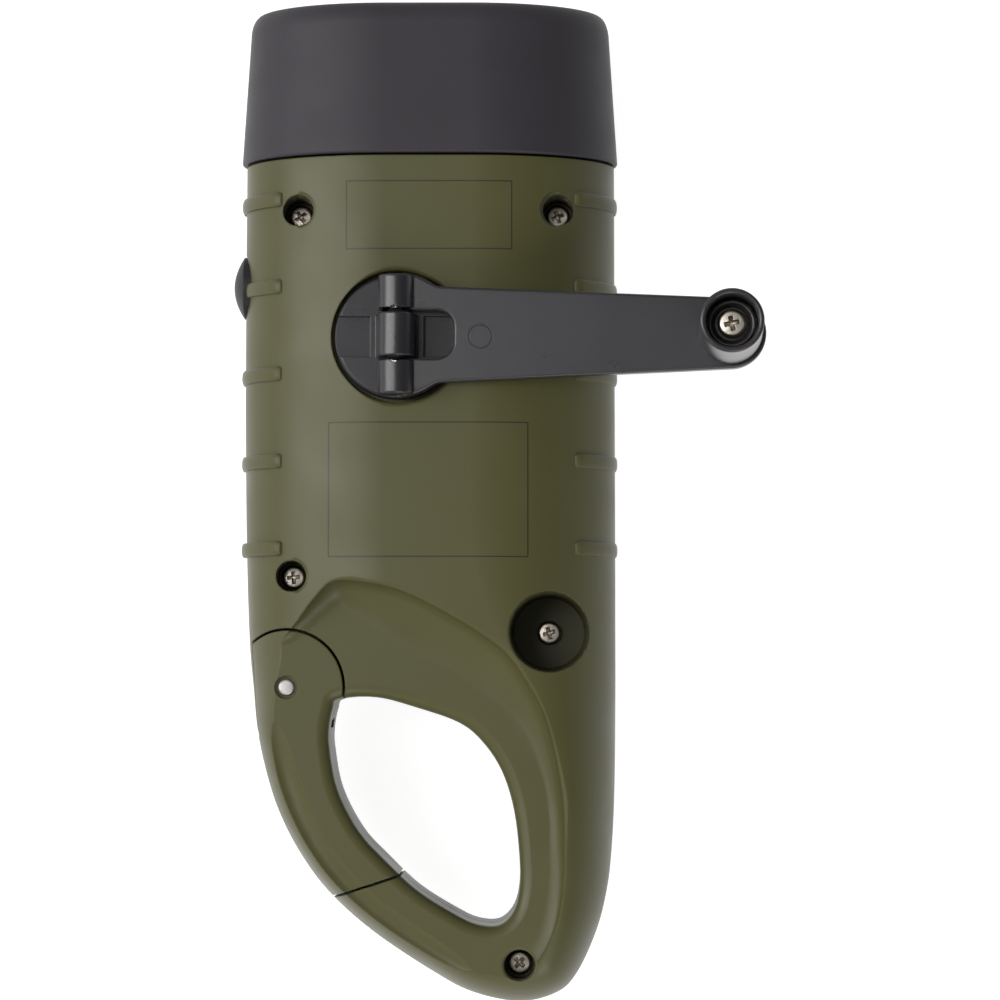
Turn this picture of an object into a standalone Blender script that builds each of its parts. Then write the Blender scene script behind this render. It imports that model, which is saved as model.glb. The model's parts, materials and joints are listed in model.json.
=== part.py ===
"""Hand-crank and solar LED torch with a carabiner tail, as an assembly of separate pieces.

The torch lies on its solar side. +X is its right side seen from the crank side, +Y points
to the lamp head and +Z out of the crank side. The origin is on the flat face of the solar
window, on the middle line of the grip. Units are metres.
"""

import math

import bmesh
import bpy
from mathutils import Matrix, Vector

MM = 0.001
MERGE = 0.01 * MM
OVERRUN = 2.0 * MM
GAP = 0.3 * MM
RUNNING_GAP = 0.1 * MM

# Case: outline, section and walls
THICKNESS = 29.0 * MM
HALF_WIDTH = 24.65 * MM
GRIP_LENGTH = 44.2 * MM
TAIL_REACH = 66.9 * MM
ROUND_WIDTH = 19.0 * MM
WALL = 1.8 * MM
CAVITY_TAIL_Y = -9.5 * MM
PARTING_GAP = 0.3 * MM
PATH_CUTS = 2
SECTION_STEPS = 4

# Carabiner tail: plateau, scoop, eye and edge rounding
PLATEAU_DEPTH = 5.0 * MM
SWEEP_WIDTH = 6.5 * MM
EYE_ROUNDING = 1.5 * MM

# Neck, bumper and lamp
NECK_LENGTH = 13.8 * MM
NECK_INSET = 3.2 * MM
NECK_WALL = 1.6 * MM
BUMPER_LENGTH = 20.1 * MM
BUMPER_PROUD = 0.5 * MM
BUMPER_TAPER = 1.1 * MM
BUMPER_NOSE = 3.0 * MM
BUMPER_LIP = 3.4 * MM
LENS_THICKNESS = 1.6 * MM
REFLECTOR_DEPTH = 9.5 * MM
CUP_PITCH = 12.2 * MM
CUP_RADIUS = 5.7 * MM
CUP_HOLE_RADIUS = 3.1 * MM
LED_RADIUS = 2.5 * MM
LED_FLANGE_RADIUS = 2.9 * MM
LED_FLANGE_HEIGHT = 1.0 * MM
LED_HEIGHT = 6.5 * MM
BOARD_THICKNESS = 1.2 * MM

# Grip ribs
RIB_COUNT = 5
RIB_MARGIN = 5.3 * MM
RIB_PITCH = 11.5 * MM
RIB_WIDTH = 1.95 * MM
RIB_PROUD = 0.45 * MM
RIB_DEPTH = 0.8 * MM
RIB_END_X = 19.3 * MM

# Screws
SCREW_BORE_RADIUS = 2.0 * MM
SCREW_SEAT_Z = 17.0 * MM
SCREW_HEAD_RADIUS = 1.6 * MM
SCREW_HEAD_HEIGHT = 1.3 * MM
SCREW_SHANK_RADIUS = 1.1 * MM
SCREW_LENGTH = 9.5 * MM
SCREW_BOSS_WALL = 1.5 * MM
RECESS_WIDTH = 0.5 * MM
RECESS_LENGTH = 1.9 * MM
RECESS_DEPTH = 0.8 * MM
NECK_SCREW_X = 17.1 * MM
NECK_SCREW_MARGIN = 6.9 * MM

# Crank hub, arm and knob
HUB_X = -3.96 * MM
HUB_Y = 20.39 * MM
HUB_RADIUS = 8.1 * MM
HUB_GAP = 0.5 * MM
WELL_DEPTH = 3.0 * MM
HUB_DROP = 0.2 * MM
HUB_BOSS_RADIUS = 10.2 * MM
HUB_BOSS_HEIGHT = 2.2 * MM
SHAFT_RADIUS = 2.25 * MM
BUSH_WALL = 1.0 * MM
BARREL_RADIUS = 2.35 * MM
LUG_WIDTH = 5.7 * MM
LUG_FOOT = 7.0 * MM
CHANNEL_WIDTH = 5.3 * MM
CHANNEL_DEPTH = 0.9 * MM
HINGE_PIN_RADIUS = 0.9 * MM
ARM_REACH = 43.3 * MM
ARM_THICKNESS = 2.5 * MM
ARM_RISE = 0.5 * MM
ARM_ROOT_WIDTH = 12.4 * MM
ARM_ROOT_X = 7.0 * MM
ARM_SLOT_REACH = 7.5 * MM
ARM_SLOT_WIDTH = 6.3 * MM
ARM_END_RADIUS = 4.6 * MM
ARM_RAISE = math.radians(2.5)
POST_RADIUS = 2.4 * MM
POST_HEIGHT = 11.9 * MM
KNOB_RADIUS = 4.05 * MM
KNOB_LENGTH = 17.2 * MM
KNOB_BORE_RADIUS = 3.3 * MM
KNOB_EDGE = 0.5 * MM
DOCK_ANGLE = math.radians(-62.6)
DOCK_RIM_RADIUS = 5.35 * MM
DOCK_FLOOR_RADIUS = 4.7 * MM
DOCK_CLEARANCE = 1.1 * MM
DOCK_WALL = 1.5 * MM
DOCK_SCREW_LENGTH = 6.0 * MM

# Carabiner gate
GATE_HEAD_RADIUS = 7.4 * MM
GATE_GAP = 0.35 * MM
GATE_PIN_RADIUS = 1.05 * MM
PIN_RECESS_RADIUS = 1.5 * MM
PIN_RECESS_DEPTH = 0.5 * MM
TONGUE_HEIGHT = 6.4 * MM
SPRING_WIRE_RADIUS = 0.2 * MM
SPRING_RADIUS = 2.3 * MM
SPRING_PITCH = 0.5 * MM
SPRING_TURNS = 2.5
SPRING_POINTS_A_TURN = 10
SPRING_POCKET_RADIUS = 3.2 * MM
SPRING_POCKET_DEPTH = 1.9 * MM

# Power button and its switch
BUTTON_MARGIN = 16.1 * MM
BUTTON_RADIUS = 4.15 * MM
BUTTON_PROUD = 1.55 * MM
BUTTON_DOME = 1.4 * MM
BUTTON_FLANGE_WIDTH = 1.0 * MM
BUTTON_FLANGE_THICKNESS = 0.8 * MM
BUTTON_STEM_RADIUS = 1.5 * MM
BUTTON_STEM_LENGTH = 2.0 * MM
BUTTON_TRAVEL = 1.0 * MM
SWITCH_SIDE = 6.0 * MM
SWITCH_DEPTH = 3.4 * MM
SWITCH_BOARD_WIDTH = 10.0 * MM
SWITCH_BOARD_HEIGHT = 11.5 * MM

# Solar panel on the front face
PANEL_Y = 12.8 * MM
PANEL_WIDTH = 33.0 * MM
PANEL_LENGTH = 44.0 * MM
PANEL_CORNER = 3.0 * MM
PANEL_RIM = 2.4 * MM
WINDOW_THICKNESS = 1.2 * MM
CELL_THICKNESS = 0.5 * MM
CELL_MARGIN = 1.2 * MM
BED_WALL = 1.3 * MM
LEAD_HOLE_RADIUS = 1.2 * MM

# Gear train and dynamo
MODULE = 0.5 * MM
PRESSURE_ANGLE = math.radians(25)
ADDENDUM_SHARE = 0.8
DEDENDUM_SHARE = 1.05
BACKLASH = 0.12 * MM
DRIVE_TEETH = 36
PINION_TEETH = 10
WHEEL_1_TEETH = 30
WHEEL_2_TEETH = 28
GEAR_WIDTH = 2.2 * MM
GEAR_STEP = 2.8 * MM
MESH_1_ANGLE = math.radians(-35)
MESH_2_ANGLE = math.radians(-100)
MESH_3_ANGLE = math.radians(190)
AXLE_RADIUS = 0.8 * MM
AXLE_SEAT_DEPTH = 1.6 * MM
AXLE_BOSS_RADIUS = 2.0 * MM
PLATE_THICKNESS = 1.4 * MM
PLATE_MARGIN = 3.2 * MM
PLATE_SCREW_HEAD_RADIUS = 1.4 * MM
PLATE_SCREW_HEAD_HEIGHT = 1.0 * MM
PLATE_SCREW_RADIUS = 0.7 * MM
PLATE_SCREW_LENGTH = 5.5 * MM
PLATE_POST_RADIUS = 2.2 * MM
PLATE_POSTS = (
    (10.5 * MM, -4.5 * MM),
    (12.5 * MM, 16.5 * MM),
    (-8.5 * MM, 17.0 * MM),
)
ROTOR_SHAFT_RADIUS = 0.75 * MM
MAGNET_RADIUS = 5.2 * MM
MAGNET_HEIGHT = 6.0 * MM
AIR_GAP = 0.5 * MM
CORE_WALL = 0.8 * MM
COIL_RADIUS = 8.6 * MM
COIL_HEIGHT = 5.4 * MM

# Battery and charging board
CELL_COUNT = 3
BATTERY_RADIUS = 5.8 * MM
BATTERY_LENGTH = 5.3 * MM
BATTERY_TERMINAL_RADIUS = 4.0 * MM
BATTERY_TERMINAL_STEP = 0.4 * MM
CHARGE_BOARD_WIDTH = 25.0 * MM
CAPACITOR_RADIUS = 2.5 * MM
CAPACITOR_HEIGHT = 5.0 * MM
CAPACITOR_X = 6.0 * MM

# Leads between the boards, and how many cuts each stretch of one has
LEAD_RADIUS = 0.5 * MM
LEAD_BOW = 2.2 * MM
LEAD_INSET = 1.0 * MM
LEAD_CUTS = 4

# Sides of round forms, and the angle from which an edge is shaded sharp
HOLE_SIDES = 12
PIN_SIDES = 16
BORE_SIDES = 20
ROUND_SIDES = 24
KNOB_SIDES = 28
WELL_SIDES = 32
HUB_SIDES = 36
SHARP_ANGLE = math.radians(35)

# Rows of shares. Across is a share of HALF_WIDTH. Along is a share of GRIP_LENGTH towards
# the head and of TAIL_REACH towards the tail. Rounding is a share of ROUND_WIDTH, or of
# SWEEP_WIDTH in the scoop, and height is a share of half the thickness.
OUTLINE_SHARES = (
    (-0.995, 1.0, 1.0, 1.0),
    (-1.0, 0.5, 1.0, 1.0),
    (-0.998, 0.1, 1.0, 1.0),
    (-0.988, -0.15, 1.0, 1.0),
    (-0.972, -0.3, 1.0, 1.0),
    (-0.951, -0.38, 0.5, 0.85),
    (-0.929, -0.46, 0.2, 0.69),
    (-0.884, -0.54, 0.17, 0.68),
    (-0.815, -0.62, 0.17, 0.68),
    (-0.706, -0.7, 0.17, 0.68),
    (-0.548, -0.78, 0.18, 0.68),
    (-0.304, -0.861, 0.19, 0.68),
    (0.027, -0.942, 0.2, 0.68),
    (0.239, -0.982, 0.23, 0.68),
    (0.489, -1.0, 0.28, 0.69),
    (0.69, -0.982, 0.29, 0.7),
    (0.799, -0.942, 0.31, 0.72),
    (0.901, -0.861, 0.35, 0.76),
    (0.957, -0.782, 0.39, 0.8),
    (0.984, -0.701, 0.42, 0.85),
    (1.0, -0.58, 0.44, 0.91),
    (1.006, -0.4, 0.62, 0.97),
    (1.006, -0.25, 0.85, 1.0),
    (1.006, -0.1, 1.0, 1.0),
    (1.004, 0.4, 1.0, 1.0),
    (1.002, 1.0, 1.0, 1.0),
)
CREASE_SHARES = (
    (-1.3, -0.31, 0.2, 0.76),
    (-0.83, -0.285, 0.2, 0.76),
    (-0.702, -0.254, 0.3, 0.78),
    (-0.609, -0.211, 0.4, 0.86),
    (-0.49, -0.172, 0.5, 0.94),
    (-0.286, -0.177, 0.8, 1.0),
    (-0.118, -0.194, 1.0, 1.0),
    (0.081, -0.23, 1.0, 1.0),
    (0.26, -0.269, 1.0, 1.0),
    (0.414, -0.312, 0.9, 0.99),
    (0.531, -0.371, 0.75, 0.98),
    (0.613, -0.428, 0.55, 0.96),
    (0.669, -0.498, 0.4, 0.93),
    (0.714, -0.598, 0.3, 0.88),
    (0.722, -0.688, 0.3, 0.84),
    (0.718, -0.755, 0.3, 0.8),
    (0.694, -0.822, 0.3, 0.77),
    (0.645, -0.876, 0.3, 0.75),
    (0.56, -0.925, 0.3, 0.74),
    (0.4, -0.98, 0.2, 0.74),
    (0.2, -1.08, 0.2, 0.74),
)
SCOOP_CORNER_SHARES = ((-1.3, -1.08, 0.0, 0.75),)
EYE_SHARES = (
    (-0.473, -0.401),
    (-0.272, -0.398),
    (-0.053, -0.419),
    (0.162, -0.447),
    (0.285, -0.483),
    (0.391, -0.541),
    (0.458, -0.62),
    (0.488, -0.72),
    (0.483, -0.782),
    (0.446, -0.821),
    (0.375, -0.843),
    (0.272, -0.842),
    (0.162, -0.825),
    (-0.053, -0.776),
    (-0.23, -0.715),
    (-0.365, -0.661),
    (-0.479, -0.581),
    (-0.523, -0.501),
    (-0.527, -0.46),
    (-0.507, -0.42),
)
GATE_JOINT_SHARES = ((-1.25, -0.878), (-0.08, -0.735))
GATE_INSIDE_SHARES = ((-0.18, -0.62), (-0.36, -0.49))
GATE_OUTSIDE_SHARE = -1.25
PIN_SHARES = (-0.7546, -0.3782)
GATE_SIDE_SCREW_SHARES = (-0.729, -0.1605)
TAIL_SCREW_SHARES = (0.487, -0.921)

# Angles of the gate's head and of the tongue that carries it, about the gate's pin
HEAD_ARC = (math.radians(-11), math.radians(158))
TONGUE_ARC = (math.radians(-2), math.radians(145))
ARC_STEP = math.radians(10)

# Derived places
MID_Z = THICKNESS / 2
HALF_THICKNESS = THICKNESS / 2
RIB_FIRST_Y = GRIP_LENGTH - RIB_MARGIN
PIN_X = PIN_SHARES[0] * HALF_WIDTH
PIN_Y = PIN_SHARES[1] * TAIL_REACH
NECK_TOP_Y = GRIP_LENGTH + NECK_LENGTH
BUTTON_Y = GRIP_LENGTH - BUTTON_MARGIN
BUMPER_BACK_Y = GRIP_LENGTH + GAP
BUMPER_FRONT_Y = BUMPER_BACK_Y + BUMPER_LENGTH
WELL_Z = THICKNESS - WELL_DEPTH
HUB_TOP_Z = THICKNESS - HUB_DROP
HINGE_Z = HUB_TOP_Z + GAP + BARREL_RADIUS
HUB_BOSS_Z = WELL_Z - HUB_BOSS_HEIGHT
KNOB_BASE_HEIGHT = ARM_RISE + GAP
DOCK_X = HUB_X + ARM_REACH * math.cos(DOCK_ANGLE)
DOCK_Y = HUB_Y + ARM_REACH * math.sin(DOCK_ANGLE)
DOCK_FLOOR_Z = HINGE_Z - KNOB_BASE_HEIGHT - KNOB_LENGTH - DOCK_CLEARANCE
CUP_BOTTOM_Z = DOCK_FLOOR_Z - DOCK_WALL
BED_Z = WINDOW_THICKNESS + CELL_THICKNESS + 2 * GAP + BED_WALL
BOARD_Y = NECK_TOP_Y - REFLECTOR_DEPTH - GAP - BOARD_THICKNESS
GEAR_1_Z = HUB_BOSS_Z - GAP - GEAR_WIDTH
GEAR_2_Z = GEAR_1_Z - GEAR_STEP
GEAR_3_Z = GEAR_2_Z - GEAR_STEP
PLATE_Z = GEAR_3_Z - 2 * GAP - PLATE_THICKNESS
AXLE_BOSS_Z = GEAR_1_Z + GEAR_WIDTH + 2 * GAP
CASE_SCREWS = (
    (NECK_SCREW_X, GRIP_LENGTH - NECK_SCREW_MARGIN),
    (-NECK_SCREW_X, GRIP_LENGTH - NECK_SCREW_MARGIN),
    (GATE_SIDE_SCREW_SHARES[0] * HALF_WIDTH, GATE_SIDE_SCREW_SHARES[1] * TAIL_REACH),
    (TAIL_SCREW_SHARES[0] * HALF_WIDTH, TAIL_SCREW_SHARES[1] * TAIL_REACH),
)
BUTTON_TIP_X = -(HALF_WIDTH + BUTTON_PROUD)
BUTTON_FLANGE_X = -(HALF_WIDTH - WALL - GAP)
SWITCH_X = BUTTON_FLANGE_X + BUTTON_FLANGE_THICKNESS + BUTTON_STEM_LENGTH + BUTTON_TRAVEL + GAP

MATERIALS = {
    "olive": ((0.133, 0.125, 0.078), 0.5, 0.0),
    "rubber": ((0.052, 0.047, 0.055), 0.75, 0.0),
    "black": ((0.05, 0.046, 0.05), 0.3, 0.0),
    "steel": ((0.62, 0.6, 0.56), 0.3, 1.0),
    "brass": ((0.6, 0.45, 0.2), 0.35, 1.0),
    "copper": ((0.55, 0.25, 0.12), 0.4, 1.0),
    "clear": ((0.85, 0.88, 0.9), 0.08, 0.0),
    "mirror": ((0.8, 0.8, 0.8), 0.1, 1.0),
    "board": ((0.03, 0.16, 0.07), 0.5, 0.0),
    "cell": ((0.02, 0.025, 0.07), 0.25, 0.0),
    "nylon": ((0.7, 0.68, 0.62), 0.5, 0.0),
    "lead": ((0.45, 0.02, 0.02), 0.5, 0.0),
}


# Scene, objects and modifiers


def clear_scene():
    for item in list(bpy.data.objects):
        bpy.data.objects.remove(item, do_unlink=True)


def make_collection(name):
    made = bpy.data.collections.new(name)
    bpy.context.scene.collection.children.link(made)
    return made


def make_materials():
    for name, (color, roughness, metallic) in MATERIALS.items():
        material = bpy.data.materials.new(name)
        material.use_nodes = True
        shader = material.node_tree.nodes["Principled BSDF"]
        shader.inputs["Base Color"].default_value = (*color, 1.0)
        shader.inputs["Roughness"].default_value = roughness
        shader.inputs["Metallic"].default_value = metallic


def link(item, cutter=False):
    bpy.data.collections["torch_cutters" if cutter else "torch"].objects.link(item)
    if cutter:
        item.hide_render = True
        item.display_type = "WIRE"
    return item


def finish_part(item, material):
    """A visible piece: its material, and normals that keep its flat faces flat."""
    item.data.materials.append(bpy.data.materials[material])
    if item.type == "MESH":
        shading = item.modifiers.new("even_normals", "WEIGHTED_NORMAL")
        shading.keep_sharp = True
    return item


def object_from_bmesh(name, build, cutter=False):
    mesh = bpy.data.meshes.new(name)
    bmesh.ops.recalc_face_normals(build, faces=build.faces)
    build.to_mesh(mesh)
    build.free()
    mesh.shade_smooth()
    mesh.set_sharp_from_angle(angle=SHARP_ANGLE)
    return link(bpy.data.objects.new(name, mesh), cutter)


def boolean(target, other, operation):
    modifier = target.modifiers.new(other.name, "BOOLEAN")
    modifier.operation = operation
    modifier.object = other


def cut(target, *others):
    for other in others:
        boolean(target, other, "DIFFERENCE")


def join(target, *others):
    for other in others:
        boolean(target, other, "UNION")


def helpers_of(item):
    """The forms that an object's Booleans use, and those that theirs use in turn."""
    found = []
    for modifier in item.modifiers:
        if modifier.type == "BOOLEAN":
            found += [modifier.object, *helpers_of(modifier.object)]
    return found


def carry(name, place, pieces, parent=None):
    """An empty on a joint's axis, with the named pieces and their cutters parented to it."""
    axis = link(bpy.data.objects.new(name, None))
    axis.matrix_world = place
    if parent is not None:
        axis.parent = parent
        axis.matrix_parent_inverse = parent.matrix_world.inverted()
    for piece in [bpy.data.objects[piece_name] for piece_name in pieces]:
        for item in (piece, *helpers_of(piece)):
            item.parent = axis
            item.matrix_parent_inverse = place.inverted()
    return axis


# Points


def smooth_rows(rows, cuts, closed=False):
    """Rows of numbers along a Catmull-Rom curve that passes through every given row."""
    count = len(rows)
    spans = count if closed else count - 1
    found = []
    for index in range(spans):
        if closed:
            ends = [rows[(index + shift) % count] for shift in (-1, 0, 1, 2)]
        else:
            ends = [rows[min(max(index + shift, 0), count - 1)] for shift in (-1, 0, 1, 2)]
        for cut_index in range(cuts):
            t = cut_index / cuts
            found.append(
                tuple(
                    (2 * b + (c - a) * t + (2 * a - 5 * b + 4 * c - d) * t**2
                     + (3 * b - a - 3 * c + d) * t**3) / 2
                    for a, b, c, d in zip(*ends)
                )
            )
    if not closed:
        found.append(tuple(rows[-1]))
    return found


def across(share):
    return share * HALF_WIDTH


def along(share):
    return share * (GRIP_LENGTH if share > 0 else TAIL_REACH)


def placed_rows(shares, width):
    """Rows of shares as (x, y, rounding, height)."""
    return [
        (across(x), along(y), rounding * width, height * HALF_THICKNESS)
        for x, y, rounding, height in shares
    ]


def inward_normals(points, closed=False):
    """The unit normal at each point, on the left of the way the points run."""
    count = len(points)
    found = []
    for index in range(count):
        before, after = index - 1, index + 1
        if closed:
            after %= count
        else:
            before, after = max(before, 0), min(after, count - 1)
        way = Vector(points[after][:2]) - Vector(points[before][:2])
        found.append(Vector((-way.y, way.x)).normalized())
    return found


def arc(x, y, radius, start, end, step=ARC_STEP):
    count = max(2, math.ceil(abs(end - start) / step))
    angles = [start + (end - start) * index / count for index in range(count + 1)]
    return [(x + radius * math.cos(angle), y + radius * math.sin(angle)) for angle in angles]


def section(inset):
    """The upper half of the case's cross section, set in all round, from right to left."""
    rounding = ROUND_WIDTH - inset
    flat = HALF_WIDTH - ROUND_WIDTH
    right = []
    for step in range(SECTION_STEPS + 1):
        angle = math.pi / 2 * step / SECTION_STEPS
        height = (HALF_THICKNESS - inset) * math.sin(angle)
        right.append((flat + rounding * math.cos(angle), height))
    return right + [(-x, z) for x, z in reversed(right)]


def full_section(inset):
    upper = section(inset)
    return upper + [(x, -z) for x, z in reversed(upper[1:-1])]


# Basic shapes


def plate(name, points, low, high, cutter=False):
    """A flat outline in X and Y, filled and extruded from one height to the other."""
    curve = bpy.data.curves.new(name, "CURVE")
    curve.dimensions = "2D"
    curve.fill_mode = "BOTH"
    curve.extrude = (high - low) / 2
    spline = curve.splines.new("POLY")
    spline.points.add(len(points) - 1)
    for target, (x, y) in zip(spline.points, points):
        target.co = (x, y, 0, 1)
    spline.use_cyclic_u = True
    guide = bpy.data.objects.new(name + "_outline", curve)
    bpy.context.scene.collection.objects.link(guide)
    guide.location.z = (high + low) / 2
    bpy.context.view_layer.update()
    solid = guide.evaluated_get(bpy.context.evaluated_depsgraph_get())
    build = bmesh.new()
    build.from_mesh(bpy.data.meshes.new_from_object(solid))
    bmesh.ops.remove_doubles(build, verts=build.verts, dist=MERGE)
    bmesh.ops.transform(build, matrix=guide.matrix_world, verts=build.verts)
    bpy.data.objects.remove(guide)
    return object_from_bmesh(name, build, cutter)


def prism_along_y(name, points, low, high, z=MID_Z, cutter=False):
    """A section in X and Z, extruded along Y."""
    made = plate(name, [(x, -height) for x, height in points], low, high, cutter)
    turn = Matrix.Rotation(-math.pi / 2, 4, "X")
    made.data.transform(Matrix.Translation((0, 0, z)) @ turn)
    return made


def cylinder(
    name, radius, low, high, x, y, top_radius=None, segments=ROUND_SIDES, cutter=False
):
    """A cylinder or cone about a line along Z."""
    build = bmesh.new()
    bmesh.ops.create_cone(
        build,
        cap_ends=True,
        segments=segments,
        radius1=radius,
        radius2=radius if top_radius is None else top_radius,
        depth=high - low,
    )
    bmesh.ops.translate(build, verts=build.verts, vec=(x, y, (low + high) / 2))
    return object_from_bmesh(name, build, cutter)


def box(name, low, high, cutter=False):
    build = bmesh.new()
    size = Vector(high) - Vector(low)
    bmesh.ops.create_cube(build, size=1)
    bmesh.ops.scale(build, verts=build.verts, vec=size)
    bmesh.ops.translate(build, verts=build.verts, vec=(Vector(low) + Vector(high)) / 2)
    return object_from_bmesh(name, build, cutter)


def turned(name, profile, place=None, closed=False, steps=ROUND_SIDES, cutter=False):
    """A profile of (radius, height) points, run top to bottom on its outside, about Z."""
    mesh = bpy.data.meshes.new(name)
    count = len(profile)
    edges = [(index, index + 1) for index in range(count - 1)]
    if closed:
        edges.append((count - 1, 0))
    mesh.from_pydata([(radius, 0, height) for radius, height in profile], edges, [])
    made = link(bpy.data.objects.new(name, mesh), cutter)
    screw = made.modifiers.new("turn", "SCREW")
    screw.steps = screw.render_steps = steps
    screw.use_merge_vertices = True
    screw.merge_threshold = MERGE
    if place is not None:
        made.matrix_world = place
    return made


def wire(name, points, radius, material):
    """A round wire along a line of points, with filled ends."""
    curve = bpy.data.curves.new(name, "CURVE")
    curve.dimensions = "3D"
    curve.bevel_depth = radius
    curve.bevel_resolution = 1
    curve.use_fill_caps = True
    spline = curve.splines.new("POLY")
    spline.points.add(len(points) - 1)
    for target, point in zip(spline.points, points):
        target.co = (*point, 1)
    return finish_part(link(bpy.data.objects.new(name, curve)), material)


def rounded_rectangle(x, y, width, length, radius):
    found = []
    for turn, (side_x, side_y) in enumerate(((1, 1), (-1, 1), (-1, -1), (1, -1))):
        start = turn * math.pi / 2
        corner_x = x + side_x * (width / 2 - radius)
        corner_y = y + side_y * (length / 2 - radius)
        found += arc(corner_x, corner_y, radius, start, start + math.pi / 2, math.radians(30))
    return found


def bridge_rings(build, rings, rungs=False):
    """Side faces between rings of the same number of points, and a cap on each end.

    A ring that isn't flat is capped with rungs from its first half to its second.
    """
    made = [[build.verts.new(point) for point in ring] for ring in rings]
    count = len(made[0])
    for lower, upper in zip(made, made[1:]):
        for index in range(count):
            after = (index + 1) % count
            build.faces.new((lower[index], lower[after], upper[after], upper[index]))
    for ring in (made[0], made[-1]):
        if not rungs:
            build.faces.new(ring)
            continue
        for index in range((count - 1) // 2):
            corners = (ring[index], ring[index + 1], ring[-2 - index], ring[-1 - index])
            build.faces.new(list(dict.fromkeys(corners)))
    bmesh.ops.triangulate(build, faces=build.faces)


# Case forms that the shells and the gate share


def case_form(name, low, high, cutter=False):
    """The case's rounded outside from the grip's top to the tail, between two levels.

    Levels are angles of the section's quarter ellipse: -90 degrees is the front face, 0 the
    parting plane and 90 degrees the crank face.
    """
    path = smooth_rows(placed_rows(OUTLINE_SHARES, ROUND_WIDTH), PATH_CUTS)
    normals = inward_normals(path)
    normals[0], normals[-1] = Vector((1, 0)), Vector((-1, 0))
    rings = []
    for level in range(low, high + 1):
        angle = math.pi / 2 * level / SECTION_STEPS
        inset_share, height_share = 1 - math.cos(angle), math.sin(angle)
        if level == 0 and low == 0:
            base = PARTING_GAP / 2
        elif level == 0 and high == 0:
            base = -PARTING_GAP / 2
        else:
            base = 0
        rings.append(
            [
                (
                    x + normal.x * rounding * inset_share,
                    y + normal.y * rounding * inset_share,
                    MID_Z + base + min(height, HALF_THICKNESS) * height_share,
                )
                for (x, y, rounding, height), normal in zip(path, normals)
            ]
        )
    build = bmesh.new()
    bridge_rings(build, rings, rungs=True)
    return object_from_bmesh(name, build, cutter)


def scoop_cutter(name, side):
    """The hollow that lowers the tail to its plateau. Side 1 is the crank face, -1 the front."""
    path = smooth_rows(placed_rows(CREASE_SHARES, SWEEP_WIDTH), PATH_CUTS)
    normals = [-normal for normal in inward_normals(path)]
    corners = placed_rows(SCOOP_CORNER_SHARES, SWEEP_WIDTH)
    path += corners
    normals += [Vector((0, 0))] * len(corners)
    floor = HALF_THICKNESS - PLATEAU_DEPTH
    rings = [[(x, y, HALF_THICKNESS + OVERRUN) for x, y, _, _ in path]]
    for step in range(SECTION_STEPS):
        angle = math.pi / 2 * step / (SECTION_STEPS - 1)
        inset_share, drop_share = 1 - math.cos(angle), 1 - math.sin(angle)
        rings.append(
            [
                (
                    x + normal.x * rounding * inset_share,
                    y + normal.y * rounding * inset_share,
                    floor + (height - floor) * drop_share,
                )
                for (x, y, rounding, height), normal in zip(path, normals)
            ]
        )
    build = bmesh.new()
    bridge_rings(build, [[(x, y, MID_Z + side * z) for x, y, z in ring] for ring in rings])
    return object_from_bmesh(name, build, True)


def eye_cutter(name):
    """The carabiner's eye, right through, with its edges rounded onto both plateaus."""
    path = smooth_rows([(across(x), along(y)) for x, y in EYE_SHARES], 2, closed=True)
    outward = inward_normals(path, closed=True)
    rise = HALF_THICKNESS - PLATEAU_DEPTH
    levels = [(HALF_THICKNESS + OVERRUN, EYE_ROUNDING), (rise, EYE_ROUNDING)]
    for angle in (math.radians(45), 0):
        levels.append(
            (
                rise - EYE_ROUNDING * (1 - math.sin(angle)),
                EYE_ROUNDING * (1 - math.cos(angle)),
            )
        )
    levels += [(-height, grow) for height, grow in reversed(levels)]
    rings = [
        [
            (x + normal.x * grow, y + normal.y * grow, MID_Z + height)
            for (x, y), normal in zip(path, outward)
        ]
        for height, grow in levels
    ]
    build = bmesh.new()
    bridge_rings(build, rings)
    return object_from_bmesh(name, build, True)


def gate_outline(gap):
    """The gate's plan, grown by a gap on its head and its joint, open into the eye."""
    head = arc(PIN_X, PIN_Y, GATE_HEAD_RADIUS + gap, *HEAD_ARC)
    outside_x = across(GATE_OUTSIDE_SHARE)
    joint = [(across(x), along(y) - gap) for x, y in GATE_JOINT_SHARES]
    inside = [(across(x), along(y)) for x, y in GATE_INSIDE_SHARES]
    return head + [(outside_x, head[-1][1])] + joint + inside


def tongue_outline():
    """The case's tongue in the gate's fork: a disc on the pin, joined to the case."""
    disc = arc(
        PIN_X, PIN_Y, GATE_HEAD_RADIUS - GATE_GAP, TONGUE_ARC[1], TONGUE_ARC[0] + 2 * math.pi
    )
    bridge = arc(PIN_X, PIN_Y, GATE_HEAD_RADIUS + OVERRUN, *TONGUE_ARC)
    return bridge + disc


def rib_forms(name, side):
    """All grip ribs of one half, as one object of separate bars that wrap the edges."""
    build = bmesh.new()
    outer = section(-RIB_PROUD)
    inner = section(RIB_DEPTH)
    reach = [index for index, (x, _) in enumerate(outer) if x > RIB_END_X]
    profile = [outer[index] for index in reach] + [inner[index] for index in reversed(reach)]
    for rib in range(RIB_COUNT):
        middle = RIB_FIRST_Y - rib * RIB_PITCH
        for mirror in (1, -1):
            rings = [
                [
                    (mirror * x, y, MID_Z + side * max(z, PARTING_GAP / 2))
                    for x, z in profile
                ]
                for y in (middle - RIB_WIDTH / 2, middle + RIB_WIDTH / 2)
            ]
            bridge_rings(build, rings)
    return object_from_bmesh(name, build, True)


# Shells


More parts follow.
